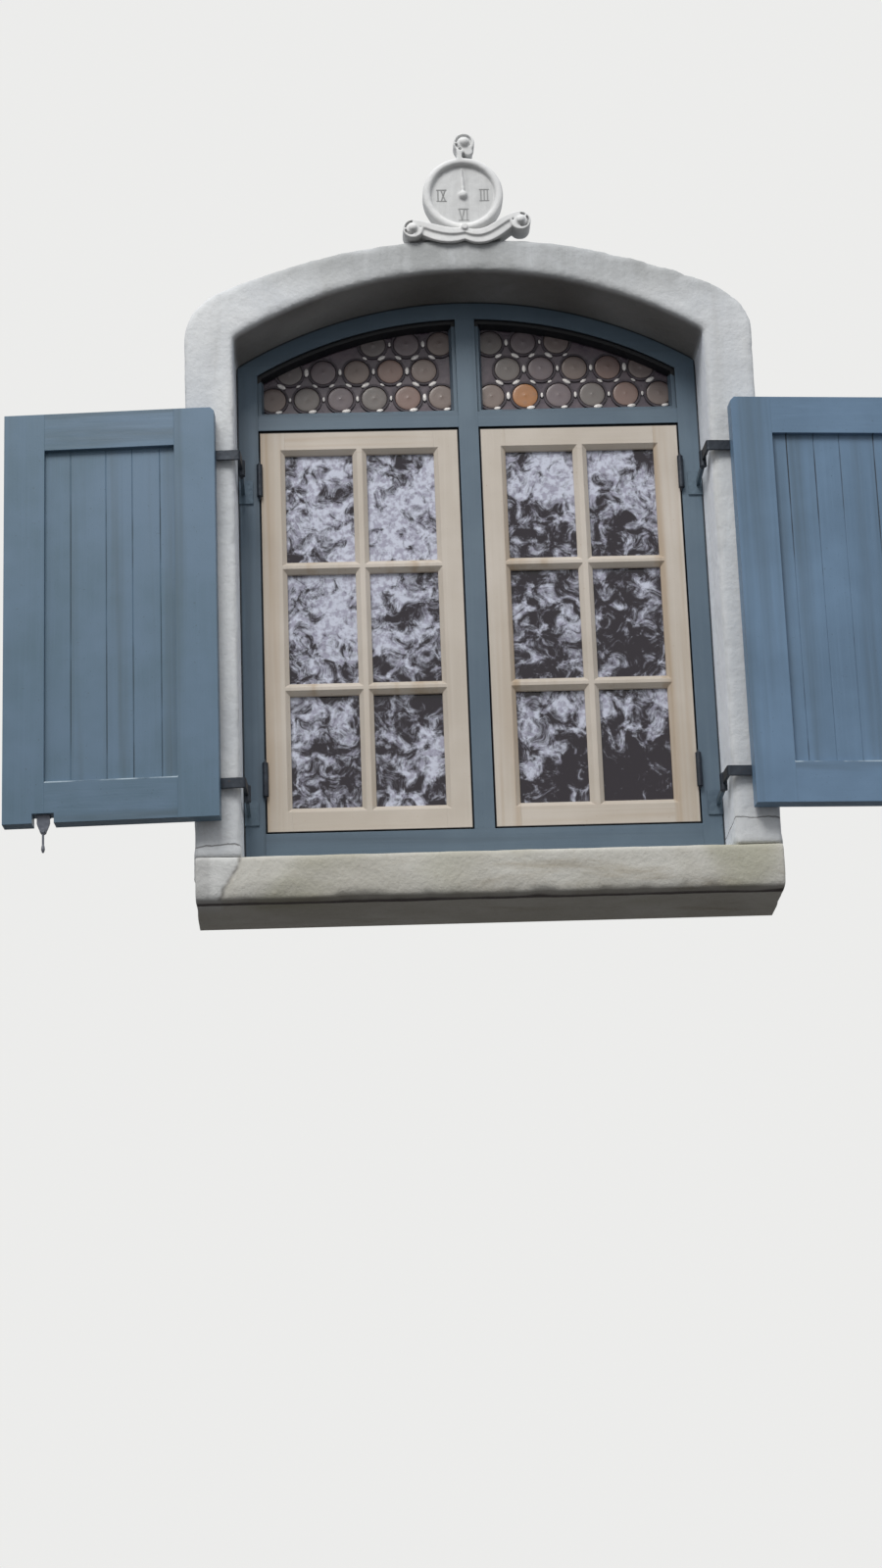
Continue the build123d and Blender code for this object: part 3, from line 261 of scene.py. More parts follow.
# %% Paint materials for upright and level pieces
PAINTED_ARRIS = 0.0016
PAINT_RELIEF = 0.0004
STRETCH = {"upright": (85.0, 85.0, 2.2), "level": (2.2, 85.0, 85.0)}
# Dark traces: painted shade round the leaves and under the head, and dirt in the board joints.
DIRT_AND_SHADE = linear(24, 26, 30)
THIN_DIRT = linear(58, 74, 84)
# A pale trace: a painted highlight along the ledge of the shutters.
LEDGE_HIGHLIGHT = linear(176, 194, 206)


def paint(name, run, paint_colour, faded, grime, amount, traces):
    material, tree, shader = start_material(name, Specular_IOR_Level=0.42)
    place = own_place(tree)
    coat = place_group(
        tree, brushed_paint, Vector=place, Along_Grain=scaled(tree, place, STRETCH[run]),
        Paint=paint_colour, Faded=faded, Grime=grime, Grime_Amount=amount,
    )
    colour = coat["Colour"]
    for find, mark_colour in traces:
        colour = mix_colours(tree, find(tree, place), colour, mark_colour)
    bevel = add_node(tree, "ShaderNodeBevel", {"Radius": PAINTED_ARRIS}, samples=6)
    wire(tree, shader, colour, coat["Roughness"], coat["Height"], PAINT_RELIEF, bevel.outputs["Normal"])
    return material


# %% [markdown]
# Shade is painted into the colour where little light gets in: deep in the rebates, on the
# edges of the casements, along the edge of the frame by the plaster, and on the beads right
# under the arched head. From the street those places read as dark lines round every leaf.
# On the shutters a painted highlight marks the ledge over the bottom rail as a pale line,
# and dirt sits in the joints of the boards. All are found by their place on the piece.

# %% Places of painted shade, painted highlight and dirt
LIGHT_ARCH_RADIUS = 0.99460
FRAME_ARCH_RADIUS = 1.03860
LEDGE_Z = 0.2875
PANEL_MIDDLE = 0.856
PANEL_HALF = 0.152
BOARD_JOINTS = (0.7393, 0.8041, 0.8656, 0.9482)
BOARDS_MIDDLE_Z = 0.695
BOARDS_HALF_Z = 0.407
ARCH_CENTRE_Z = 0.52140
CASEMENT_X = (0.027, 0.508)
CASEMENT_Z = (0.212, 1.222)
STOP_Y = 0.0425
FRAME_SIDE_X = 0.5565
BEAD_DEPTH = 0.0165
SHADE_REACH = (0.010, 0.024)
GAP_WIDTH = 0.0026
VEE_WIDTH = 0.0022


def reach_of_arch(tree, place):
    """Distance from the centre of the arch, in the plane of the wall."""
    spot = axes_of(tree, place)
    rise = calculate(tree, "SUBTRACT", spot["Z"], ARCH_CENTRE_Z)
    square = times_plus(tree, spot["X"], spot["X"], times(tree, rise, rise))
    return calculate(tree, "SQRT", square)


def fading(tree, depth):
    """Full near the street, and faint further in."""
    return one_minus(tree, times(tree, between(tree, depth, *SHADE_REACH), 0.75))


def in_rebate(tree, place):
    """Painted shade on the sides of the rebates, and on the narrow edge of the frame along the plaster.
    """
    spot = axes_of(tree, place)
    past_stop = between(tree, spot["Y"], STOP_Y, STOP_Y + 0.0015)
    sides = calculate(tree, "SUBTRACT", between(tree, spot["Y"], 0.002, 0.005), past_stop, clamp=True)
    across = calculate(tree, "ABSOLUTE", spot["X"])
    edge = between(tree, across, FRAME_SIDE_X, FRAME_SIDE_X + 0.0025)
    over = between(tree, reach_of_arch(tree, place), FRAME_ARCH_RADIUS - 0.005, FRAME_ARCH_RADIUS - 0.002)
    sides = times(tree, sides, fading(tree, spot["Y"]))
    rim = times(tree, calculate(tree, "MAXIMUM", edge, over), 0.8)
    return calculate(tree, "MAXIMUM", sides, rim)


# Painted shade on the beads right under the arched head.
def under_head(tree, place):
    start = LIGHT_ARCH_RADIUS - BEAD_DEPTH
    return between(tree, reach_of_arch(tree, place), start, start + 0.0015)


def near_lines(tree, pairs, width):
    """Full where a value lies on one of its lines, and none beyond the width."""
    nearest = 1.0
    for value, line in pairs:
        nearest = calculate(tree, "MINIMUM", nearest, apart(tree, value, line))
    return one_minus(tree, between(tree, nearest, 0.0008, width))


# Painted shade on the outer edges of the casements, which darkens the gaps round them.
def on_outer_edge(tree, place):
    spot = axes_of(tree, place)
    across = calculate(tree, "ABSOLUTE", spot["X"])
    pairs = [(across, x) for x in CASEMENT_X] + [(spot["Z"], z) for z in CASEMENT_Z]
    return times(tree, near_lines(tree, pairs, GAP_WIDTH), fading(tree, spot["Y"]))


# A painted highlight: the lit ledge over the bottom rail shows as a pale line.
def on_ledge(tree, place):
    spot = axes_of(tree, place)
    away = apart(tree, spot["Z"], LEDGE_Z)
    line = one_minus(tree, between(tree, away, 0.0012, 0.0030))
    inside = calculate(tree, "COMPARE", calculate(tree, "ABSOLUTE", spot["X"]), PANEL_MIDDLE, PANEL_HALF)
    left = between(tree, noise_at(tree, place, 9.0, 4.0, 0.6), 0.38, 0.56)
    return times(tree, times(tree, line, inside), left)


def in_joints(tree, place):
    """The vees between the boards, open along part of their length."""
    spot = axes_of(tree, place)
    across = calculate(tree, "ABSOLUTE", spot["X"])
    line = near_lines(tree, [(across, joint) for joint in BOARD_JOINTS], VEE_WIDTH)
    inside = calculate(tree, "COMPARE", spot["Z"], BOARDS_MIDDLE_Z, BOARDS_HALF_Z)
    opened = times(tree, between(tree, noise_at(tree, place, 3.5, 3.0, 0.6), 0.40, 0.58), 0.85)
    return times(tree, times(tree, line, inside), opened)


# %% Mix the paints
FRAME_BLUE = (linear(85, 103, 118), linear(97, 115, 129), linear(52, 62, 70), 0.45)
PAINTS = {
    "shutter": (linear(82, 107, 124), linear(96, 120, 142), linear(65, 80, 84), 0.5),
    "faded shutter": (linear(95, 121, 146), linear(109, 137, 165), linear(74, 90, 100), 0.5),
    "frame": FRAME_BLUE,
    "bead": FRAME_BLUE,
    "casement": (linear(192, 182, 169), linear(206, 197, 186), linear(164, 136, 100), 0.6),
}
TRACES = {
    "shutter": ((on_ledge, LEDGE_HIGHLIGHT), (in_joints, THIN_DIRT)),
    "faded shutter": ((on_ledge, LEDGE_HIGHLIGHT), (in_joints, DIRT_AND_SHADE)),
    "frame": ((in_rebate, DIRT_AND_SHADE),),
    "bead": ((under_head, DIRT_AND_SHADE),),
    "casement": ((on_outer_edge, DIRT_AND_SHADE),),
}
painted = {
    (kind, run): paint(f"{kind} paint {run}", run, *values, TRACES[kind])
    for kind, values in PAINTS.items()
    for run in STRETCH
}
print("paints:", sorted(m.name for m in painted.values()))

# %% [markdown]
# ## Which piece gets which paint
# Rails, transoms and boards differ only in the direction of their grain. The names of
# the construction nodes say enough to sort them.

# %% Paint the joinery
def finish_node(name, material):
    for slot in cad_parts[name].material_slots:
        slot.material = material
    return name


def finish_all(endings, material):
    return [finish_node(node, material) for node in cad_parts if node.endswith(endings)]


LEVEL_WORDS = ("rail", "transom", "head")
JOINERY_WORDS = {
    "shutter": ("stile", "rail", "boards"),
    "casement": ("stile", "rail", "glazing_bars"),
    "frame": ("head", "rail", "mullion", "jamb", "transom"),
    "bead": ("beads",),
}
done = []
for kind, endings in JOINERY_WORDS.items():
    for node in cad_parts:
        if kind in node and node.endswith(endings):
            run = "level" if any(word in node for word in LEVEL_WORDS) else "upright"
            faded = "faded " if node.startswith("right_shutter") else ""
            done.append(finish_node(node, painted[faded + kind, run]))
print("painted nodes:", len(done))

# %% [markdown]
# ## Forged and blackened iron
# Straps, pintles, hinges and catches are hand-forged iron under black paint. Hammer
# marks are a soft dimple pattern, which a Voronoi texture gives at the right size, and
# rust starts only in the deepest specks, so it stays a hint.

# %% Iron
PAINTED_FROM = -0.106
IRON_ARRIS = 0.0012
IRON_RELIEF = 0.0006


def iron_finish(name, dark, light, partly_painted):
    material, tree, shader = start_material(name, Metallic=0.35, Specular_IOR_Level=0.5)
    place = own_place(tree)
    hammer = add_node(tree, "ShaderNodeTexVoronoi", {"Vector": place, "Scale": 95.0, "Smoothness": 0.8},
                      feature="SMOOTH_F1").outputs["Distance"]
    grit = noise_at(tree, place, 240.0, 4.0, 0.6)
    patches = noise_at(tree, place, 14.0, 3.0, 0.6)
    tone = mix_colours(tree, between(tree, patches, 0.4, 0.7), dark, light)
    rust = times(tree, between(tree, grit, 0.6, 0.72), between(tree, patches, 0.45, 0.6))
    tone = mix_colours(tree, times(tree, rust, 0.55), tone, linear(92, 62, 46))
    if partly_painted:
        depth = axes_of(tree, place)["Y"]
        worn_through = between(tree, patches, 0.4, 0.65)
        coat = mix_colours(tree, worn_through, linear(80, 97, 111), linear(92, 109, 122))
        tone = mix_colours(tree, between(tree, depth, PAINTED_FROM, PAINTED_FROM + 0.003), tone, coat)
    relief = times_plus(tree, grit, 0.35, hammer)
    edge = add_node(tree, "ShaderNodeBevel", {"Radius": IRON_ARRIS}, samples=6).outputs["Normal"]
    wire(tree, shader, tone, times_plus(tree, grit, 0.3, 0.35), relief, IRON_RELIEF, edge)
    return material


BLACK = (linear(33, 40, 50), linear(50, 58, 68))
WORN = (linear(88, 92, 102), linear(118, 120, 128))
IRON_KINDS = {
    "blackened iron": (("straps", "screws", "leaves", "pins", "handle_plate", "handle"), BLACK, False),
    "half painted iron": ("pintles", BLACK, True),
    "worn bare iron": (("catch_plate", "drop_pin"), WORN, False),
}
for name, (endings, tones, partly_painted) in IRON_KINDS.items():
    print(name, "on", len(finish_all(endings, iron_finish(name, *tones, partly_painted))), "nodes")

# %% [markdown]
# ## Lead and window glass
# Lead cames weather to a dull dark grey. The panes are old sheet glass: flat from far
# away, with a slow ripple that bends reflections. From the street the room behind is
# dark, so the glass is given a dark body and a clear gloss, rather than a view through
# to the backdrop.

# %% A mottled finish, for the lead first
def mottled(name, pattern, turning, dark, light, roughness, depth, **sockets):
    """A finish that wanders between two colours, after one noise."""
    material, tree, shader = start_material(name, **sockets)
    bloom = noise_at(tree, own_place(tree), *pattern)
    tone = mix_colours(tree, between(tree, bloom, *turning), dark, light)
    wire(tree, shader, tone, times_plus(tree, bloom, 0.3, roughness), bloom, depth)
    return material


lead = mottled("weathered lead", (45.0, 5.0, 0.65), (0.4, 0.7), linear(62, 56, 62), linear(90, 82, 88),
               0.45, 0.0004, Metallic=0.25)
print("lead:", finish_all("leads", lead))

# %% [markdown]
# The pale patches on the panes are a painted reflection of the sky, broken up, with more of
# it towards the upper left, and the dark room shows between. One distorted noise gives the
# patches, and a slow drift over the whole window decides how many there are.

# %% Sheet glass of the casements
pane_glass, tree, shader = start_material("sheet glass", IOR=1.5)
place = own_place(tree)
ripple = noise_at(tree, scaled(tree, place, (3.0, 1.0, 9.0)), 1.0, 2.0)
patches = noise_at(tree, place, 24.0, 9.0, 0.7, 0.8)
zones = noise_at(tree, place, 5.0, 2.0, 0.5)
spot = axes_of(tree, place)
drift = times_plus(tree, spot["Z"], 0.11, times(tree, spot["X"], -0.08))
drift = times_plus(tree, zones, 0.45, drift)
# Painted reflection: pale sky in broken patches on the dark glass.
sky_reflection = between(tree, calculate(tree, "ADD", patches, drift), 0.72, 0.91)
pale = mix_colours(tree, between(tree, noise_at(tree, place, 90.0, 3.0), 0.4, 0.65),
                   linear(204, 208, 223), linear(163, 162, 180))
tone = mix_colours(tree, sky_reflection, linear(34, 26, 36), pale)
wire(tree, shader, tone, times_plus(tree, sky_reflection, 0.22, 0.03), ripple, 0.004)
print("glass:", finish_all("panes", pane_glass))

# %% [markdown]
# ## Roundels
# The leaded lights hold rows of spun glass discs, each with a thick rim, faint rings
# and a knob in the middle. They repeat, so Geometry Nodes makes them: a flat grid is
# bent into a disc by reading its two coordinates as radius and angle, then copied to
# every centre. The centres follow the same rule as the leads that hold them.

# %% Centres of the roundels
ROUNDEL_RADIUS = 0.0325
LIGHT_LEFT = 0.511
HALF_MULLION = 0.024
LIGHT_BOTTOM = 1.267
LIGHT_MARGIN = 0.005
FIRST_ROW = 0.056
ROW_PITCH = 0.0715
FROM_HEAD = 0.012
BORDER = 0.0085
LEADS_FRONT = 0.034
LEADS_BACK = 0.038


def roundel_rows():
    first = -LIGHT_LEFT + LIGHT_MARGIN + ROUNDEL_RADIUS
    last = -HALF_MULLION - LIGHT_MARGIN - ROUNDEL_RADIUS
    pitch = (last - first) / 5
    rows = []
    for row in range(3):
        z = LIGHT_BOTTOM + FIRST_ROW + row * ROW_PITCH
        columns = 6 - row % 2
        places = [first + pitch * (column + 0.5 * (row % 2)) for column in range(columns)]
        rows.append([
            (x, z) for x in places
            if math.hypot(x, z - ARCH_CENTRE_Z) <= LIGHT_ARCH_RADIUS - FROM_HEAD
        ])
    return rows


left_centres = [centre for row in roundel_rows() for centre in row]
centres = {"left": left_centres, "right": [(-x, z) for x, z in left_centres]}
print("roundels:", [len(row) for row in roundel_rows()], "in each light")

# %% [markdown]
# A node tree can be read like a recipe. Two helpers below start and end a tree, and one
# runs it on a cloud of points and keeps the plain mesh, because the finished window
# shall not depend on live modifiers.

# %% Helpers for Geometry Nodes
def start_tree(name, sizes):
    """A tree with a geometry input and output, and one plain number for each size."""
    inputs = {"Geometry": "Geometry", **dict.fromkeys(sizes, "Float")}
    return start_group(name, inputs, {"Geometry": "Geometry"}, "GeometryNodeTree")


def end_tree(tree, copies, material, leave):
    """Turns the instances into real faces and gives them their material."""
    real = add_node(tree, "GeometryNodeRealizeInstances", {"Geometry": copies.outputs[0]})
    dressed = add_node(tree, "GeometryNodeSetMaterial",
                       {"Geometry": real.outputs[0], "Material": material})
    tree.links.new(dressed.outputs[0], leave["Geometry"])


def input_name(tree, label):
    return next(s.identifier for s in tree.interface.items_tree
                if s.in_out == "INPUT" and s.name == label)


def link_object(name, mesh):
    piece = bpy.data.objects.new(name, mesh)
    bpy.context.scene.collection.objects.link(piece)
    return piece


def run_tree(name, points, tree, settings, attributes=None):
    """Puts the tree on a cloud of points and gives back the plain mesh it makes."""
    cloud = bpy.data.meshes.new(name + " points")
    cloud.from_pydata(points, [], [])
    for label, values in (attributes or {}).items():
        layer = cloud.attributes.new(label, "FLOAT", "POINT")
        layer.data.foreach_set("value", values)
    seed = link_object(name + " seed", cloud)
    modifier = seed.modifiers.new("recipe", "NODES")
    modifier.node_group = tree
    for label, value in settings.items():
        modifier[input_name(tree, label)] = value
    graph = bpy.context.evaluated_depsgraph_get()
    mesh = bpy.data.meshes.new_from_object(seed.evaluated_get(graph))
    bpy.data.objects.remove(seed)
    piece = link_object(name, mesh)
    print(name, "faces:", len(mesh.polygons))
    return piece


# %% Roundel glass material
roundel_glass, tree, shader = start_material("spun glass", IOR=1.5, Coat_Weight=0.15, Coat_Roughness=0.2)
place = own_place(tree)
tint = add_node(tree, "ShaderNodeAttribute", attribute_name="tint").outputs["Fac"]
rim = add_node(tree, "ShaderNodeAttribute", attribute_name="out_from_middle").outputs["Fac"]
ramp = add_node(tree, "ShaderNodeValToRGB", {"Fac": tint})
ramp.color_ramp.interpolation = "CONSTANT"
SPUN_COLOURS = ((0.0, (132, 117, 110)), (0.25, (124, 117, 113)), (0.5, (140, 115, 106)),
                (0.75, (122, 110, 113)), (0.95, (178, 124, 80)))
ramp.color_ramp.elements.remove(ramp.color_ramp.elements[1])
ramp.color_ramp.elements[0].color = linear(*SPUN_COLOURS[0][1])
for position, shade in SPUN_COLOURS[1:]:
    ramp.color_ramp.elements.new(position).color = linear(*shade)
cloudy = noise_at(tree, place, 70.0, 3.0, 0.6)
tone = mix_colours(tree, between(tree, rim, 0.92, 1.0), ramp.outputs["Color"], linear(88, 75, 78))
tone = mix_colours(tree, times(tree, between(tree, cloudy, 0.45, 0.75), 0.25), tone,
                   linear(132, 116, 108))
shade = between(tree, reach_of_arch(tree, place), LIGHT_ARCH_RADIUS - 0.10, LIGHT_ARCH_RADIUS - 0.015)
tone = mix_colours(tree, times(tree, shade, 0.5), tone, linear(62, 52, 60))
wire(tree, shader, tone, times_plus(tree, cloudy, 0.2, 0.28), cloudy, 0.0004)

# %% Node tree: spun discs on points
SECTION_POINTS = 27
SEGMENTS = 32
FULL_TURN = 6.283
DISC_SIZES = {"Radius": ROUNDEL_RADIUS - 0.0003, "Thickness": 0.0034, "Knob": 0.0012, "Rings": 0.00016}
spun, enter, leave = start_tree("spun discs", DISC_SIZES)
grid = add_node(spun, "GeometryNodeMeshGrid", {
    "Size X": 1.0, "Size Y": 1.0, "Vertices X": SECTION_POINTS, "Vertices Y": SEGMENTS + 1,
})
flat = axes_of(spun, spun.nodes.new("GeometryNodeInputPosition").outputs[0])
round_section = calculate(spun, "ADD", flat["X"], 0.5)
angle = times(spun, calculate(spun, "ADD", flat["Y"], 0.5), 2 * math.pi)
fold = calculate(spun, "ABSOLUTE", times_plus(spun, round_section, 2.0, -1.0))
share = one_minus(spun, fold)
radius = times(spun, share, enter["Radius"])
closing = one_minus(spun, calculate(spun, "POWER", share, 8.0))
half = times(spun, times(spun, enter["Thickness"], 0.5), closing)
bell = calculate(spun, "POWER", one_minus(spun, share), 7.0)
wave = calculate(spun, "SINE", times(spun, share, 34.0))
raised = times_plus(spun, bell, enter["Knob"], half)
raised = times_plus(spun, times(spun, wave, closing), enter["Rings"], raised)
is_front = calculate(spun, "LESS_THAN", round_section, 0.5)
towards = times(spun, is_front, times(spun, raised, -1.0))
depth = times_plus(spun, one_minus(spun, is_front), half, towards)
bent = add_node(spun, "ShaderNodeCombineXYZ", {
    "X": times(spun, radius, calculate(spun, "COSINE", angle)),
    "Y": depth,
    "Z": times(spun, radius, calculate(spun, "SINE", angle)),
})
kept = add_node(spun, "GeometryNodeStoreNamedAttribute", {
    "Geometry": grid.outputs["Mesh"], "Name": "out_from_middle", "Value": share,
}, data_type="FLOAT", domain="POINT")
shaped = add_node(spun, "GeometryNodeSetPosition", {
    "Geometry": kept.outputs[0], "Position": bent.outputs[0],
})
closed = add_node(spun, "GeometryNodeMergeByDistance", {
    "Geometry": shaped.outputs[0], "Distance": 0.00001,
})
turned = add_node(spun, "FunctionNodeRandomValue", {"Seed": 4}, data_type="FLOAT")
turn = add_node(spun, "ShaderNodeCombineXYZ", {"Y": times(spun, turned.outputs[1], FULL_TURN)})
copies = add_node(spun, "GeometryNodeInstanceOnPoints", {
    "Points": enter["Geometry"], "Instance": closed.outputs[0], "Rotation": turn.outputs[0],
})
end_tree(spun, copies, roundel_glass, leave)
print("tree:", spun.name, "nodes:", len(spun.nodes))

# %% Spin the roundels
def read_array(items, label, width=3, kind=float):
    values = np.empty(len(items) * width, dtype=kind)
    items.foreach_get(label, values)
    return values.reshape(-1, width)


SAME_PLACE = 0.000005


def turn_outwards(piece, smooth=True):
    """Merges doubles and makes every face of a closed mesh point out."""
    work = bmesh.new()
    work.from_mesh(piece.data)
    bmesh.ops.remove_doubles(work, verts=work.verts, dist=SAME_PLACE)
    bmesh.ops.recalc_face_normals(work, faces=work.faces)
    for face in work.faces:
        face.smooth = smooth
    work.to_mesh(piece.data)
    work.free()
    return piece


def trim_to_border(piece):
    """Ends the glass at the border lead, as a glazier cuts discs that don't fit."""
    points = read_array(piece.data.vertices, "co")
    sign = np.sign(points[:, 0])
    points[:, 0] = sign * np.clip(np.abs(points[:, 0]), HALF_MULLION + BORDER, LIGHT_LEFT - BORDER)
    rise = points[:, 2] - ARCH_CENTRE_Z
    reach = np.hypot(points[:, 0], rise)
    shrink = np.minimum(1, (LIGHT_ARCH_RADIUS - BORDER) / reach)
    points[:, 2] = ARCH_CENTRE_Z + np.where(
        shrink < 1, np.sqrt((LIGHT_ARCH_RADIUS - BORDER) ** 2 - points[:, 0] ** 2), rise)
    piece.data.vertices.foreach_set("co", points.ravel())
    piece.data.update()
    return piece


TINT_STEP = 0.37
PALE_TINTS = (0.1, 0.94)
AMBER_RANK = 1
AMBER_TINT = 0.97
middle_y = (LEADS_FRONT + LEADS_BACK) / 2
for side, points in centres.items():
    order = sorted(range(len(points)), key=lambda i: (points[i][1], points[i][0]))
    tints = [0.0] * len(points)
    for rank, index in enumerate(order):
        tints[index] = (rank * TINT_STEP + PALE_TINTS[0]) % PALE_TINTS[1]
    if side == "right":
        tints[order[AMBER_RANK]] = AMBER_TINT
    discs = run_tree(
        f"{side}_roundels", [(x, middle_y, z) for x, z in points], spun, DISC_SIZES, {"tint": tints},
    )
    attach(turn_outwards(trim_to_border(discs)), "window_frame")

# %% [markdown]
# Behind the discs lies darker glass, in the small gaps between them. Where two discs
# meet, the leads are joined with a blob of solder, which stays bright. Blobs repeat
# too, so a second tree scatters flattened balls, each a little different in size.

# %% Glass between the roundels
gap_glass = mottled("gap glass", (26.0, 3.0, 0.6), (0.35, 0.7), linear(72, 60, 72), linear(92, 78, 86),
                    0.15, 0.001, IOR=1.6)
print("glass:", finish_all("light_glass", gap_glass))

# %% Solder on the joints
solder = mottled("bright solder", (300.0, 3.0, 0.6), (0.35, 0.7), linear(240, 236, 232),
                 linear(206, 200, 197), 0.3, 0.0003, Metallic=0.2)

BLOB_SIZES = {"Width": 0.0048, "Height": 0.0102, "Proud": 0.0014}
blobs, enter, leave = start_tree("solder blobs", BLOB_SIZES)
ball = add_node(blobs, "GeometryNodeMeshIcoSphere", {"Radius": 1.0, "Subdivisions": 2})
flattened = add_node(blobs, "ShaderNodeCombineXYZ", {
    "X": enter["Width"], "Y": enter["Proud"], "Z": enter["Height"],
})
shaped = add_node(blobs, "GeometryNodeTransform", {
    "Geometry": ball.outputs[0], "Scale": flattened.outputs[0],
})
lean = add_node(blobs, "GeometryNodeInputNamedAttribute", {"Name": "lean"}, data_type="FLOAT")
turn = add_node(blobs, "ShaderNodeCombineXYZ", {"Y": lean.outputs[0]})
size = add_node(blobs, "FunctionNodeRandomValue", {2: 0.6, 3: 1.2, "Seed": 9}, data_type="FLOAT")
copies = add_node(blobs, "GeometryNodeInstanceOnPoints", {
    "Points": enter["Geometry"], "Instance": shaped.outputs[0],
    "Rotation": turn.outputs[0], "Scale": size.outputs[1],
})
end_tree(blobs, copies, solder, leave)

JOINT_REACH = 3.2 * ROUNDEL_RADIUS
FOOT_SHIFT = 0.4 * ROUNDEL_RADIUS
FOOT_LEAN = 1.4
for side, points in centres.items():
    joints, leans = [], []
    foot_z = min(z for x, z in points)
    for index, (x, z) in enumerate(points):
        if z == foot_z:
            joints.append((x + FOOT_SHIFT, LEADS_FRONT, z - ROUNDEL_RADIUS))
            leans.append(FOOT_LEAN)
        for other_x, other_z in points[index + 1:]:
            if math.hypot(other_x - x, other_z - z) < JOINT_REACH:
                joints.append(((x + other_x) / 2, LEADS_FRONT, (z + other_z) / 2))
                leans.append(-math.atan2(other_z - z, other_x - x))
    dots = run_tree(f"{side}_solder_joints", joints, blobs, BLOB_SIZES, {"lean": leans})
    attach(turn_outwards(dots), "window_frame")

# %% [markdown]
# ## Plaster, cast stone and the casting
# These surfaces were made by hand and have stood in the rain, so no edge is straight.
# Their shape still comes from the construction model: a copy is turned into a dense,
# even mesh by voxels, and then every point is pushed inwards a little, by slow waves,
# small pits and chips on the arrises. Pushing only inwards keeps the piece inside the
# size that the construction model has.

# %% Helpers for weathered pieces
def soft_step(values, low, high):
    share = np.clip((values - low) / (high - low), 0, 1)
    return share * share * (3 - 2 * share)


def field(points, scale, shift=0.0):
    offset = Vector((shift, shift * 0.7, -shift))
    return np.array([noise.noise(Vector(p) * scale + offset) for p in points])


def even_copy(name, node, voxel):
    """A dense, even copy of a construction node, as a new object."""
    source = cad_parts[node]
    mesh = source.data.copy()
    work = bmesh.new()
    work.from_mesh(mesh)
    bmesh.ops.remove_doubles(work, verts=work.verts, dist=4 * SAME_PLACE)
    work.to_mesh(mesh)
    work.free()
    mesh.materials.clear()
    piece = link_object(name + " source", mesh)
    remesh = piece.modifiers.new("even", "REMESH")
    remesh.mode = "VOXEL"
    remesh.voxel_size = voxel
    graph = bpy.context.evaluated_depsgraph_get()
    dense = bpy.data.meshes.new_from_object(piece.evaluated_get(graph))
    bpy.data.objects.remove(piece)
    for polygon in dense.polygons:
        polygon.use_smooth = True
    return link_object(name, dense)


def read_points(mesh):
    """The places of all points, their normals, and the pairs of points that edges join."""
    points = read_array(mesh.vertices, "co")
    normals = read_array(mesh.vertex_normals, "vector")
    return points, normals, read_array(mesh.edges, "vertices", 2, np.int64)


def near_mean(values, edges):
    """The mean over the neighbours of every point."""
    total = np.zeros_like(values)
    count = np.zeros(len(values))
    for here, there in ((0, 1), (1, 0)):
        np.add.at(total, edges[:, here], values[edges[:, there]])
        np.add.at(count, edges[:, here], 1)
    count = np.maximum(count, 1)
    return total / (count[:, None] if values.ndim == 2 else count)


def hollow_mask(points, normals, edges, voxel, rounds):
    """About 1 in hollows, 0 on flats and -1 on arrises."""
    bend = ((near_mean(points, edges) - points) * normals).sum(1) / voxel
    for _ in range(rounds):
        bend = 0.5 * bend + 0.5 * near_mean(bend, edges)
    return np.clip(bend * 6, -1, 1)


def write_points(piece, points, node, attributes):
    """Puts moved points back, kept inside the node's own box, with its masks."""
    low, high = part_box(node)
    inside = np.clip(points, np.array(low), np.array(high))
    piece.data.vertices.foreach_set("co", inside.ravel())
    for label, values in attributes.items():
        layer = piece.data.attributes.new(label, "FLOAT", "POINT")
        layer.data.foreach_set("value", np.clip(values, 0, 1).astype(np.float32))
    piece.data.update()
    print(piece.name, "points:", len(points))


# %% [markdown]
# One shader group serves all three. It clouds a base colour, lays rain streaks and
# stains over it, and darkens what the masks on the mesh call hollow, damp or sooty. That
# darkening is painted shade as well as dirt, and a pale mask paints light on the lit
# reveals and lays a lighter coat on the end of the sill.

# %% Node group: weathered mineral
tree, enter, leave = start_group("weathered mineral", {
    "Vector": "Vector", "Streak Vector": "Vector", "Base": "Color", "Cloud": "Color",
    "Stain": "Color", "Stain Amount": "Float", "Soot Colour": "Color", "Soot": "Float",
    "Damp Colour": "Color", "Damp": "Float", "Hollow": "Float", "Fresh Colour": "Color",
    "Fresh": "Float",
}, SKIN)
slow = noise_at(tree, enter["Vector"], 4.2, 7.0, 0.62, 0.4)
fine = noise_at(tree, enter["Vector"], 75.0, 5.0, 0.6)
streaks = noise_at(tree, enter["Streak Vector"], 1.0, 5.0, 0.65, 0.6)
colour = mix_colours(tree, between(tree, slow, 0.36, 0.66), enter["Base"], enter["Cloud"])
stained = times(tree, between(tree, streaks, 0.52, 0.78), enter["Stain Amount"])
colour = mix_colours(tree, stained, colour, enter["Stain"])
grain = times(tree, between(tree, fine, 0.5, 0.8), 0.22)
colour = mix_colours(tree, grain, colour, enter["Stain"])
patchy = times_plus(tree, streaks, 0.35, times(tree, slow, 0.65))
damp = times(tree, enter["Damp"], between(tree, patchy, 0.28, 0.58))
colour = mix_colours(tree, damp, colour, enter["Damp Colour"])
# The fresh mask lays a pale colour: painted light on the lit reveals, a real lighter coat on the sill's
# end.
colour = mix_colours(tree, enter["Fresh"], colour, enter["Fresh Colour"])
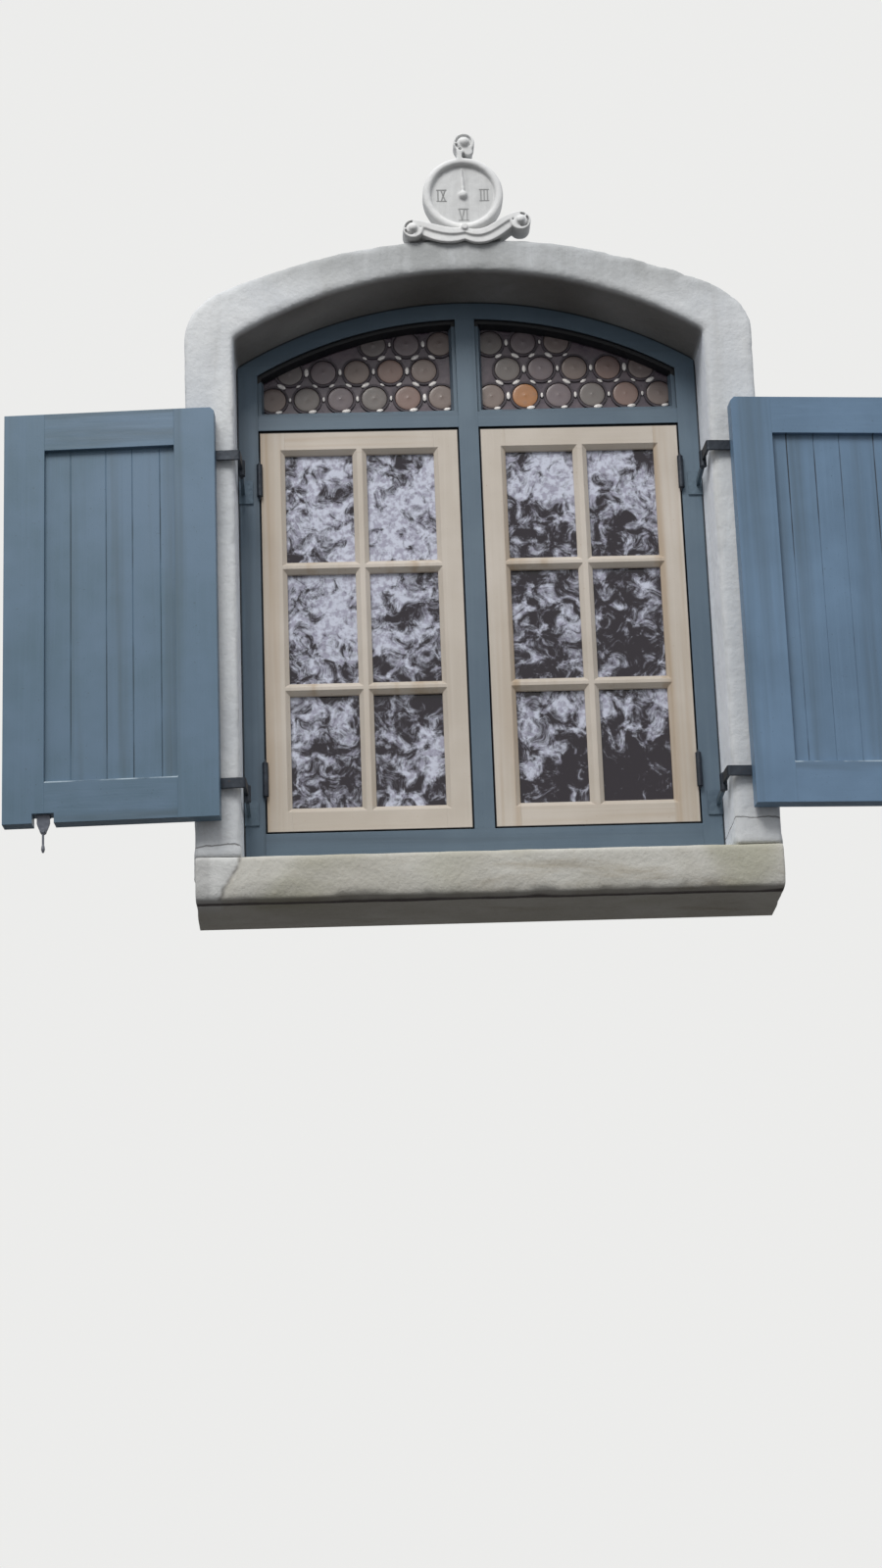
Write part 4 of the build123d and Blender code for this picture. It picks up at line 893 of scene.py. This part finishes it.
# Darkening in the hollows is painted shade with some dirt; the soot mask also carries painted shade on
# undersides.
dark = times(tree, between(tree, enter["Hollow"], 0.05, 0.9), 0.5)
colour = mix_colours(tree, dark, colour, enter["Soot Colour"])
colour = mix_colours(tree, enter["Soot"], colour, enter["Soot Colour"])
tree.links.new(colour, leave["Colour"])
tree.links.new(times_plus(tree, fine, 0.2, 0.68), leave["Roughness"])
tree.links.new(times_plus(tree, slow, 1.5, fine), leave["Height"])
mineral = tree
print("group:", mineral.name)


def crack_line(tree, place, height, left, right, width):
    """A thin wandering level crack in the outer plane, between two values of X."""
    spot = axes_of(tree, place)
    wander = times_plus(tree, noise_at(tree, place, 11.0, 4.0, 0.6), 0.03, height - 0.015)
    away = apart(tree, spot["Z"], wander)
    line = one_minus(tree, between(tree, away, width * 0.4, width))
    inside = calculate(tree, "COMPARE", spot["X"], (left + right) / 2, (right - left) / 2)
    return times(tree, line, inside)


def mineral_material(name, base, cloud, stain, amount, soot, damp, bump, stretch, cracks=()):
    material, tree, shader = start_material(name, Specular_IOR_Level=0.3)
    place = own_place(tree)
    masks = {
        label: add_node(tree, "ShaderNodeAttribute", attribute_name=label.lower()).outputs["Fac"]
        for label in ("Soot", "Damp", "Hollow", "Fresh")
    }
    skin = place_group(
        tree, mineral, Vector=place, Streak_Vector=scaled(tree, place, stretch), Base=base,
        Cloud=cloud, Stain=stain, Stain_Amount=amount, Soot_Colour=soot, Damp_Colour=damp,
        Fresh_Colour=linear(238, 243, 250), **masks,
    )
    colour, relief = skin["Colour"], skin["Height"]
    for crack in cracks:
        line = crack_line(tree, place, *crack)
        colour = mix_colours(tree, times(tree, line, 0.65), colour, soot)
        relief = calculate(tree, "SUBTRACT", relief, line)
    wire(tree, shader, colour, skin["Roughness"], relief, bump)
    return material


RAIN = (13.0, 13.0, 1.6)

# %% The rendered surround
SURROUND_VOXEL = 0.0085
SHOULDER_BREAK = np.array((0.58, -0.15, 1.55))
render_coat = mineral_material(
    "trowelled render", linear(200, 203, 206), linear(214, 216, 217), linear(166, 165, 160), 0.35,
    linear(88, 84, 80), linear(156, 158, 158), 0.002, RAIN,
    cracks=((0.132, -0.70, -0.555, 0.002), (0.168, 0.555, 0.70, 0.002)),
)
surround = even_copy("rendered_surround", "surround", SURROUND_VOXEL)
points, normals, edges = read_points(surround.data)
hollow = hollow_mask(points, normals, edges, SURROUND_VOXEL, 3)
free = soft_step(-points[:, 1], 0.008, 0.05)
waves = 0.0016 * (1 + field(points, 9.0)) + 0.0007 * (1 + field(points, 34.0, 3.1))
pits = 0.004 * np.clip(field(points, 52.0, 7.7) - 0.3, 0, 1)
worn = soft_step(-hollow, 0.2, 0.9) * soft_step(field(points, 17.0, 1.3), 0.0, 0.5) * 0.006
near_break = soft_step(-np.linalg.norm(points - SHOULDER_BREAK, axis=1), -0.13, -0.03)
broken = near_break * soft_step(field(points, 24.0, 5.5), -0.1, 0.35) * 0.010
outer_side = soft_step(np.abs(points[:, 0]), 0.60, 0.66) + soft_step(points[:, 2], 1.58, 1.62)
beside_sill = soft_step(-points[:, 2], -0.135, -0.115)
depth = (waves + pits + worn + broken * np.clip(outer_side + 0.3, 0, 1)) * free * (1 - 0.85 * beside_sill)
moved = points - normals * depth[:, None]
# Painted shade with some soiling: downward faces under the arch and the upper reveal by the frame turn
# dark through the soot mask.
down = soft_step(-normals[:, 2], 0.15, 0.6) * soft_step(points[:, 1], -0.178, -0.150)
soot = down * soft_step(points[:, 2], 1.2, 1.36) * (0.8 + 0.2 * field(points, 6.0))
reveal_shade = soft_step(points[:, 1], -0.08, 0.0) * soft_step(points[:, 2], 0.9, 1.4) * 0.5
# Darker towards the crown and down the arch: painted shade from above, with some soiling, through the
# damp mask.
damp = soft_step(points[:, 2] + 0.05 * points[:, 0], 1.46, 1.60) * 0.9
# Painted light: the reveals, lit from the side, are painted paler and bluer through the fresh mask.
fresh = soft_step(np.abs(normals[:, 0]), 0.5, 0.9) * soft_step(points[:, 1], -0.172, -0.150)
fresh *= soft_step(-np.abs(points[:, 0]), -0.58, -0.57)
write_points(surround, moved, "surround", {
    "hollow": hollow, "soot": np.maximum(soot, reveal_shade * 0.6), "damp": damp, "fresh": fresh,
})
surround.data.materials.append(render_coat)
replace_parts(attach(surround, "window_frame"), "surround")

# %% The sill
SILL_VOXEL = 0.0065
SILL_HEIGHT = 0.107
COAT_SHARE = 0.32
sill_coat = mineral_material(
    "stained and shaded sill", linear(190, 187, 177), linear(205, 203, 195), linear(150, 138, 116), 0.6,
    linear(62, 54, 54), linear(158, 156, 126), 0.0025, (3.0, 14.0, 14.0),
)
sill = even_copy("weathered_sill", "sill", SILL_VOXEL)
points, normals, edges = read_points(sill.data)
hollow = hollow_mask(points, normals, edges, SILL_VOXEL, 3)
free = soft_step(-points[:, 1], 0.01, 0.05)
waves = 0.0014 * (1 + field(points, 11.0)) + 0.0006 * (1 + field(points, 40.0, 3.1))
front = soft_step(-points[:, 1], 0.150, 0.185)
height = points[:, 2] / SILL_HEIGHT
low_front = soft_step(-points[:, 2], -0.022, -0.004) * front
chips = low_front * soft_step(field(points, 21.0, 2.2), 0.0, 0.5) * 0.004
worn = soft_step(-hollow, 0.2, 0.9) * soft_step(field(points, 19.0, 1.9), 0.0, 0.5) * 0.003
swell = 0.007 * np.clip(1 - 2.2 * height, 0, 1) ** 1.5 * (1 + 0.6 * field(points, 6.0, 9.3))
trowel = 0.0028 * (1 + field(points * np.array((0.45, 1, 1)), 21.0, 4.9))
joint_x = 0.610 - 0.50 * points[:, 2] + 0.018 * field(points, 15.0) + 0.006 * field(points, 60.0)
end_joint = np.exp(-((points[:, 0] + joint_x) / 0.004) ** 2) * front
inward = (waves + worn) * free + chips
moved = points - normals * inward[:, None]
moved[:, 1] += (swell + trowel + 0.004 * end_joint) * front
for _ in range(2):
    moved = np.where(free[:, None] > 0.9, 0.5 * moved + 0.5 * near_mean(moved, edges), moved)
# Painted shade on the underside of the sill through the soot mask: dark, less on a ragged front strip and
# on the part bedded in the wall.
ragged = 0.012 * field(points, 14.0, 6.6)
underside_front_strip = soft_step(-points[:, 1] + ragged, 0.150, 0.172)
bedded = soft_step(points[:, 1], -0.136, -0.134)
under = soft_step(-normals[:, 2], 0.4, 0.9) * (0.95 - 0.5 * underside_front_strip - 0.7 * bedded)
soot = np.maximum(low_front * soft_step(field(points, 16.0, 4.4), 0.1, 0.6) * 0.15, 0.6 * end_joint)
soot = np.maximum(np.maximum(soot, 0.2 * soft_step(-points[:, 0], 0.630, 0.640)), under)
damp = soft_step(field(points, 5.0, 8.8), 0.0, 0.5) * soft_step(-points[:, 1], 0.02, 0.12) * 0.5
coated = soft_step(-points[:, 0] - joint_x, -0.002, 0.004) * soft_step(-points[:, 1], 0.05, 0.15)
write_points(sill, moved, "sill", {
    "hollow": hollow, "soot": soot, "damp": damp * (1 - coated), "fresh": COAT_SHARE * coated,
})
sill.data.materials.append(sill_coat)
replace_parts(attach(sill, "window_frame"), "sill")

# %% [markdown]
# The clock ornament is one casting under many coats of white paint, so its corners are
# full and its grooves are half closed. A few rounds of smoothing do that: every point
# moves towards the mean of its neighbours.

# %% The clock ornament
CASTING_VOXEL = 0.0019
CLOCK_Z = 1.766
DIAL_FACE = -0.166
casting_coat = mineral_material(
    "white painted casting", linear(217, 218, 218), linear(228, 228, 227), linear(190, 188, 182), 0.3,
    linear(116, 116, 116), linear(182, 183, 183), 0.001, RAIN,
)
casting = even_copy("painted_clock_ornament", "clock_ornament", CASTING_VOXEL)
points, normals, edges = read_points(casting.data)
for _ in range(2):
    points = 0.5 * points + 0.5 * near_mean(points, edges)
casting.data.vertices.foreach_set("co", points.ravel())
casting.data.update()
points, normals, edges = read_points(casting.data)
hollow = hollow_mask(points, normals, edges, CASTING_VOXEL, 4)
moved = points - normals * (0.0004 * (1 + field(points, 60.0)))[:, None]
crook = soft_step(points[:, 2], 1.855, 1.870)
# Painted shade on the undersides of the casting, through the soot mask, but not on the crook.
under = soft_step(-normals[:, 2], 0.1, 0.9) * 0.35 * (1 - crook)
dial = soft_step(-np.hypot(points[:, 0], points[:, 2] - CLOCK_Z), -0.078, -0.072)
dial *= soft_step(points[:, 1], DIAL_FACE - 0.003, DIAL_FACE)
write_points(casting, moved, "clock_ornament", {
    "hollow": hollow * (0.9 - 0.6 * dial - 0.5 * crook), "soot": under,
    "damp": 0.6 * field(points, 14.0) + dial,
})
casting.data.materials.append(casting_coat)
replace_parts(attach(casting, "window_frame"), "clock_ornament")

# %% [markdown]
# The numbers of the dial are thin sunk strokes, nearly full of paint. They are finer
# than the voxels, so the paint in them is laid in afterwards, as flat bars, whose grey is
# painted shade for the sunk strokes.

# %% Numbers on the dial
STROKE = 0.0030
PROUD = 0.0004


def add_bar(work, start, end, width):
    """A bar with a narrower top, from one point of the dial to another."""
    along = Vector(end) - Vector(start)
    across = Vector((-along.y, along.x)).normalized() * width / 2
    rings = []
    for y, share in ((DIAL_FACE + 0.002, 1.0), (DIAL_FACE - PROUD / 2, 1.0), (DIAL_FACE - PROUD, 0.55)):
        corners = []
        for point, sign in ((start, 1), (end, 1), (end, -1), (start, -1)):
            spot = Vector(point) + across * sign * share
            corners.append(work.verts.new((spot.x, y, spot.y)))
        rings.append(corners)
    for lower, upper in zip(rings, rings[1:]):
        for i in range(4):
            work.faces.new((lower[i], lower[(i + 1) % 4], upper[(i + 1) % 4], upper[i]))
    work.faces.new(rings[0])
    work.faces.new(rings[-1][::-1])


LETTER_WIDTHS = {"I": 0.008, "V": 0.017, "X": 0.017}
NUMBER_PLACES = (("III", 0.052, 0.0), ("VI", 0.0, -0.052), ("IX", -0.052, 0.0))
LEANS = {
    "I": ((0.0, 0.0),),
    "V": ((0.0, -0.006), (0.0, 0.006)),
    "X": ((0.005, -0.005), (-0.005, 0.005)),
}
TALL = 0.030
work = bmesh.new()
for text, x, z in NUMBER_PLACES:
    total = sum(LETTER_WIDTHS[letter] for letter in text)
    left = x - total / 2
    low, high = CLOCK_Z + z - TALL / 2, CLOCK_Z + z + TALL / 2
    cursor = left
    for letter in text:
        middle = cursor + LETTER_WIDTHS[letter] / 2
        for foot, top in LEANS[letter]:
            add_bar(work, (middle + foot, low), (middle + top, high), STROKE)
        cursor += LETTER_WIDTHS[letter]
    for level in (low, high):
        add_bar(work, (left, level), (left + total, level), STROKE * 0.8)
numbers = link_object("dial_numbers", bpy.data.meshes.new("dial_numbers"))
work.to_mesh(numbers.data)
work.free()
turn_outwards(numbers, smooth=False)
# The grey of the bars is painted shade for the sunk strokes.
number_paint = mineral_material(
    "number shade paint", linear(146, 147, 147), linear(172, 173, 172), linear(130, 130, 126), 0.4,
    linear(104, 102, 96), linear(176, 184, 168), 0.0005, RAIN,
)
numbers.data.materials.append(number_paint)
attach(numbers, "window_frame")
print("dial numbers, faces:", len(numbers.data.polygons))

# %% [markdown]
# ## Floor and light
# The window hangs over a street, and the street lies well below it. A pale floor there
# would throw too much light up under the sill and the arch, so it is pale for the
# camera and dull for every other ray. The light is an overcast sky, brighter overhead
# than near the horizon, and one large soft lamp from the upper left, strong enough to
# shape the mouldings and no stronger.

# %% Floor
FLOOR_Z = -3.4
FLOOR_HALF = 30.0
floor_material, tree, shader = start_material("plain floor", Roughness=0.9)
to_camera = tree.nodes.new("ShaderNodeLightPath").outputs["Is Camera Ray"]
floor_tone = mix_colours(tree, to_camera, (0.15, 0.145, 0.14, 1), (0.80, 0.79, 0.77, 1))
tree.links.new(floor_tone, shader.inputs["Base Color"])
floor_mesh = bpy.data.meshes.new("floor")
corners = [(FLOOR_HALF * x, FLOOR_HALF * y, FLOOR_Z) for x, y in ((-1, -1), (1, -1), (1, 1), (-1, 1))]
floor_mesh.from_pydata(corners, [], [(0, 1, 2, 3)])
floor_mesh.materials.append(floor_material)
floor = link_object("floor", floor_mesh)

# %% Sky and lamp
SKY_STRENGTH = 0.85
world = bpy.data.worlds.new("overcast sky")
bpy.context.scene.world = world
world.use_nodes = True
tree = world.node_tree
tree.nodes.clear()
rays = tree.nodes.new("ShaderNodeLightPath").outputs
direction = tree.nodes.new("ShaderNodeTexCoord").outputs["Generated"]
height = axes_of(tree, direction)["Z"]
overhead = between(tree, height, -0.1, 0.9)
sky_tone = mix_colours(tree, overhead, (0.46, 0.475, 0.50, 1), (1.0, 1.02, 1.06, 1))
through = calculate(tree, "MAXIMUM", rays["Is Camera Ray"], rays["Is Transmission Ray"])
seen = calculate(tree, "MAXIMUM", through, rays["Is Glossy Ray"])
backdrop = add_node(tree, "ShaderNodeBackground", {"Color": (0.84, 0.84, 0.83, 1), "Strength": 1.0})
daylight = add_node(tree, "ShaderNodeBackground", {"Color": sky_tone, "Strength": SKY_STRENGTH})
shown = add_node(tree, "ShaderNodeMixShader", {0: seen, 1: daylight.outputs[0], 2: backdrop.outputs[0]})
add_node(tree, "ShaderNodeOutputWorld", {"Surface": shown.outputs[0]})

LAMP_PLACE = Vector((-1.6, -4.6, 6.0))
LAMP_AIM = Vector((0, 0, 0.9))
LAMP_SIZE = 3.2
LAMP_WATTS = 330
lamp_data = bpy.data.lights.new("soft lamp", "AREA")
lamp_data.shape = "DISK"
lamp_data.size = LAMP_SIZE
lamp_data.energy = LAMP_WATTS
lamp_data.color = (1.0, 0.985, 0.96)
lamp = link_object("soft lamp", lamp_data)
lamp.location = LAMP_PLACE
lamp.rotation_euler = (LAMP_AIM - LAMP_PLACE).to_track_quat("-Z", "Y").to_euler()

bpy.context.scene.view_settings.view_transform = "Standard"
print("lamps:", lamp.name, "world:", world.name)
